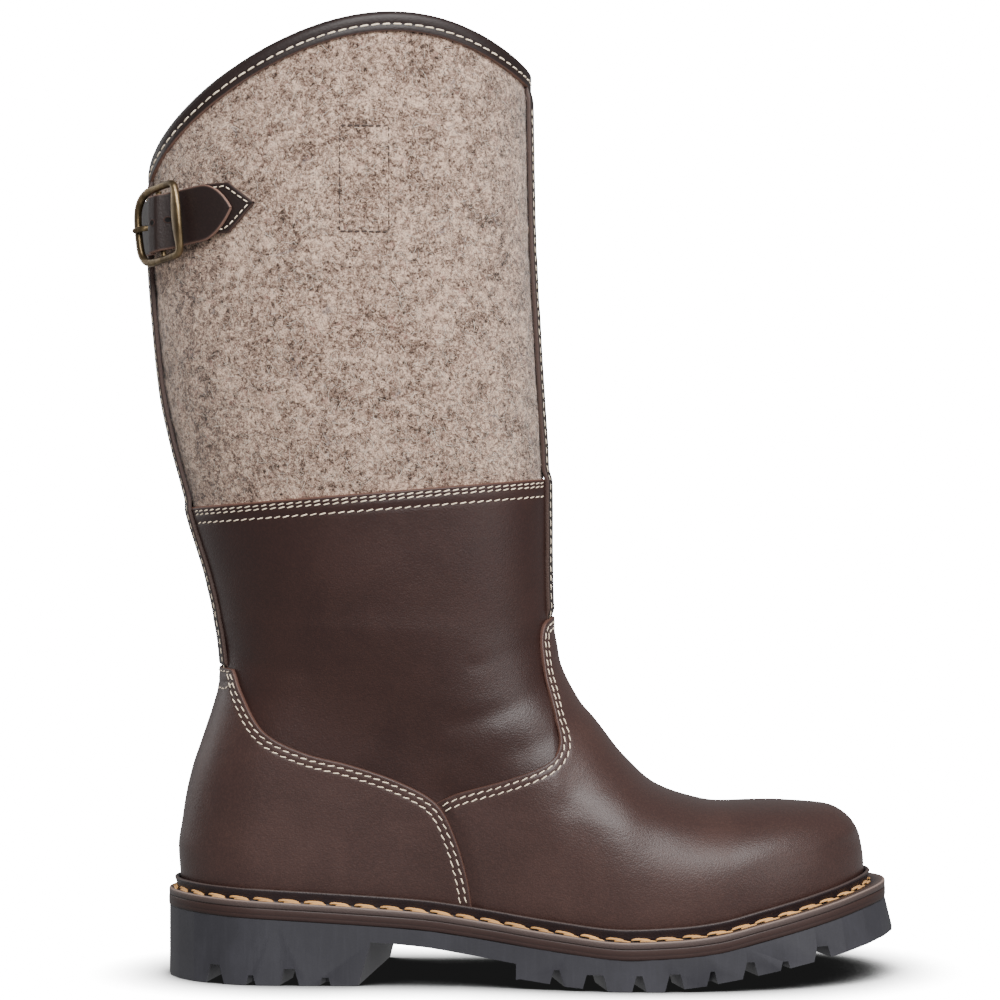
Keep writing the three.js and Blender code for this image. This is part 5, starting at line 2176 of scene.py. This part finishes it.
@dataclass
class Studio:
    """Camera, pale floor and soft lights."""

    distance: float = 1.2
    height: float = 0.201
    middle: float = 142.0  # X in the drawing frame, in millimetres
    lens: float = 101.09

    def camera(self) -> None:
        """Places the level camera beside the boot's lateral side."""
        data = bpy.data.cameras.new("camera")
        data.sensor_width = 36
        data.lens = self.lens
        made = bpy.data.objects.new("camera", data)
        across, deep = (self.middle + DRAWING_ORIGIN[0]) * METRE, DRAWING_ORIGIN[1] * METRE - self.distance
        made.location = (across, deep, self.height)
        made.rotation_euler = (np.pi / 2, 0, 0)
        bpy.context.scene.collection.objects.link(made)
        bpy.context.scene.camera = made

    def floor(self) -> bpy.types.Object:
        """Makes the floor, white to the camera but for a soft shade near the boot, and dim to the boot.

        Returns:
            The object.
        """
        material = bpy.data.materials.new("paper")
        material.use_nodes = True
        tree = Tree(material.node_tree)
        seen = tree.add("LightPath").outputs["Is Camera Ray"]
        open_sky = tree.add("AmbientOcclusion", {"samples": 16}, Distance=0.04).outputs["AO"]
        bright = tree.math("MAXIMUM", tree.math("MULTIPLY", tree.math("POWER", open_sky, 5.5), 18.0), 0.012)
        strength = tree.math("MULTIPLY_ADD", seen, tree.math("SUBTRACT", bright, 0.6), 0.6)
        shader = tree.add("Emission", None, Color=(1, 1, 1, 1), Strength=strength)
        out = tree.add("OutputMaterial")
        tree.tree.links.new(shader.outputs[0], out.inputs[0])
        mesh = bpy.data.meshes.new("floor")
        size = 14.0
        corners = [(-size, -size, 0), (size, -size, 0), (size, size, 0), (-size, size, 0)]
        mesh.from_pydata(corners, [], [(0, 1, 2, 3)])
        mesh.materials.append(material)
        made = bpy.data.objects.new("floor", mesh)
        made.location.z = -0.0002
        bpy.context.scene.collection.objects.link(made)
        return made

    def world(self) -> None:
        """Sets a white surround that the camera sees brighter than the boot does."""
        made = bpy.data.worlds.new("surround")
        made.use_nodes = True
        tree = Tree(made.node_tree)
        seen = tree.add("LightPath").outputs["Is Camera Ray"]
        strength = tree.math("MULTIPLY_ADD", seen, 17.65, 0.35)
        shader = tree.add("Background", None, Color=(1, 1, 1, 1), Strength=strength)
        out = tree.add("OutputWorld")
        tree.tree.links.new(shader.outputs[0], out.inputs[0])
        bpy.context.scene.world = made

    @staticmethod
    def lamp(name: str, place: tuple, aim: tuple, size: tuple, power: float) -> bpy.types.Object:
        """Adds a rectangular soft light.

        Args:
            name: its name.
            place: its place in metres.
            aim: the point that it faces.
            size: width and height in metres.
            power: watts.

        Returns:
            The light.
        """
        data = bpy.data.lights.new(name, "AREA")
        data.shape = "RECTANGLE"
        data.size, data.size_y = size
        data.energy = power
        made = bpy.data.objects.new(name, data)
        made.location = place
        way = Vector(aim) - Vector(place)
        made.rotation_euler = way.to_track_quat("-Z", "Y").to_euler()
        bpy.context.scene.collection.objects.link(made)
        return made

    def lights(self) -> None:
        """Adds the lights: three soft boxes in front, of which one is by the toe, and one by the heel."""
        middle = (0.0, 0.0, 0.17)
        low = (0.0, 0.0, 0.1)
        self.lamp("key", (0.1, -1.15, 0.85), low, (0.9, 0.5), 17.0)
        self.lamp("fill", (1.2, -0.9, 0.4), low, (0.6, 0.8), 6.0)
        self.lamp("top", (0.3, -0.85, 1.1), low, (1.1, 0.5), 21.0)
        self.lamp("rim", (-1.1, 0.5, 0.6), middle, (0.5, 1.0), 4.0)


def corners(box: tuple) -> list[list[float]]:
    """A box as plain lists.

    Args:
        box: its lowest and highest corner.

    Returns:
        The two corners.
    """
    return [[float(c) for c in corner] for corner in box]


def main() -> None:
    """Builds the boot's looks in order, from the sole up, and sets the studio."""
    logging.basicConfig(level=logging.INFO, format="%(name)s: %(message)s")
    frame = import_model()
    nodes = frame["nodes"]
    form = BootForm()
    effects = Effects()

    leather = LeatherFinish("leather", 0x24120F, 0x371F19, 0x5C3E33).build(effects)
    # The vamp and counter take a lighter copy of the quarters' leather: partly their own tone, partly painted
    # sheen for the brighter lower boot.
    foot = LeatherFinish("foot_leather_and_sheen", 0x31201D, 0x48302A, 0x5C3E33).build(effects)
    trim = LeatherFinish("trim", 0x160A08, 0x241410, 0x7E6054, 0.48, 1300.0).build(effects)
    # The welt's pale grey cut colour is its bare edge, and also paints the highlight along the flange's upper
    # corner and the lip's top.
    welt_leather = LeatherFinish("welt_leather", 0x1C1214, 0x2A1C1D, 0x7E6C64, 0.45).build(effects)
    edge = LeatherFinish("sole_edge", 0x1E100E, 0x2B1815, 0x4A332C, 0.5, 900.0, 0.08).build(effects)
    felt = FeltFinish("felt", 0xC7AA95, 0x786256, 0x2E231C).build(effects)
    rubber = MouldedFinish("rubber", 0x232228, 0x323138, 0.55, 0.3).build(effects)
    board = MouldedFinish("board", 0x8F7656, 0xA58C6B, 0.8).build(effects)
    brass = BrassFinish("brass", 0xB8A07A, 0x4A3D2A).build(effects)
    cream = ThreadFinish("cream_thread", 0xF4E2C8, 0x7A6A58).build(effects)
    dark = ThreadFinish("dark_thread", 0x4A3E38, 0x1C1512).build(effects)
    # The holes' finish: its near-black dark colour is painted shade inside the strap's holes.
    hole = ThreadFinish("hole_shade", 0x35241F, 0x050404, 0.8).build(effects)
    tan = ThreadFinish("welt_thread", 0xCF9C62, 0x54361E, 0.5).build(effects)
    wool = ThreadFinish("wool", 0xDCCDBE, 0x33261F, 0.9).build(effects)

    stitching = Stitching(form)
    sole = Sole(form, welt_leather, edge, rubber)
    sole.outsole(nodes["outsole"])
    sole.midsole()
    sole.welt()
    sole.rope(stitching)
    insole = nodes["insole"]
    insole.data.materials.clear()
    insole.data.materials.append(board)

    counter_line = resample(spline(edge_line(COUNTER_EDGE), 16), step=1.0)[0]
    hidden = edge_line(VAMP_HIDDEN)
    worked = resample(spline(edge_line(VAMP_EDGE), 16), step=1.0)[0]
    vamp_line = np.concatenate((resample(np.concatenate((hidden, worked[:1])), step=1.0)[0][:-1], worked))
    hidden_length = float(np.linalg.norm(np.diff(np.concatenate((hidden, worked[:1])), axis=0), axis=1).sum())
    vamp = Panel(form, vamp_line, Side.TO_TOE, 190, hidden=hidden_length)
    vamp.build("vamp", foot, counter_line)
    vamp.sew(stitching, hidden_length + 1)
    counter = Panel(form, counter_line, Side.TO_HEEL, 150, capped=True)
    counter.build("counter", foot, None)
    counter.sew(stitching, 6.0)
    counter.sew_top(stitching, (1.6, 5.9))

    shaft = Shaft(form, leather, trim, felt, stitching)
    shaft.quarters()
    shaft.lining()
    shaft.felt_wall()
    shaft.patch_rows()
    shaft.strip("front_seam", np.pi, 20.0, (10.7, 11.2))
    shaft.strip("back_seam", 0.0, 24.0, (8.5, 8.95))
    shaft.binding()
    Fleece(form, shaft).build(wool)

    fastening = Fastening(form, trim, brass, hole, stitching)
    fastening.strap()
    fastening.holes()
    fastening.anchor()
    fastening.buckle()
    fastening.prong()

    stitching.build(Thread.CREAM, cream, "trim")
    stitching.build(Thread.DARK, dark, "felt")
    stitching.build(Thread.WELT, tan, "welt")

    studio = Studio()
    studio.camera()
    studio.world()
    studio.floor()
    studio.lights()


if __name__ == "__main__":
    main()
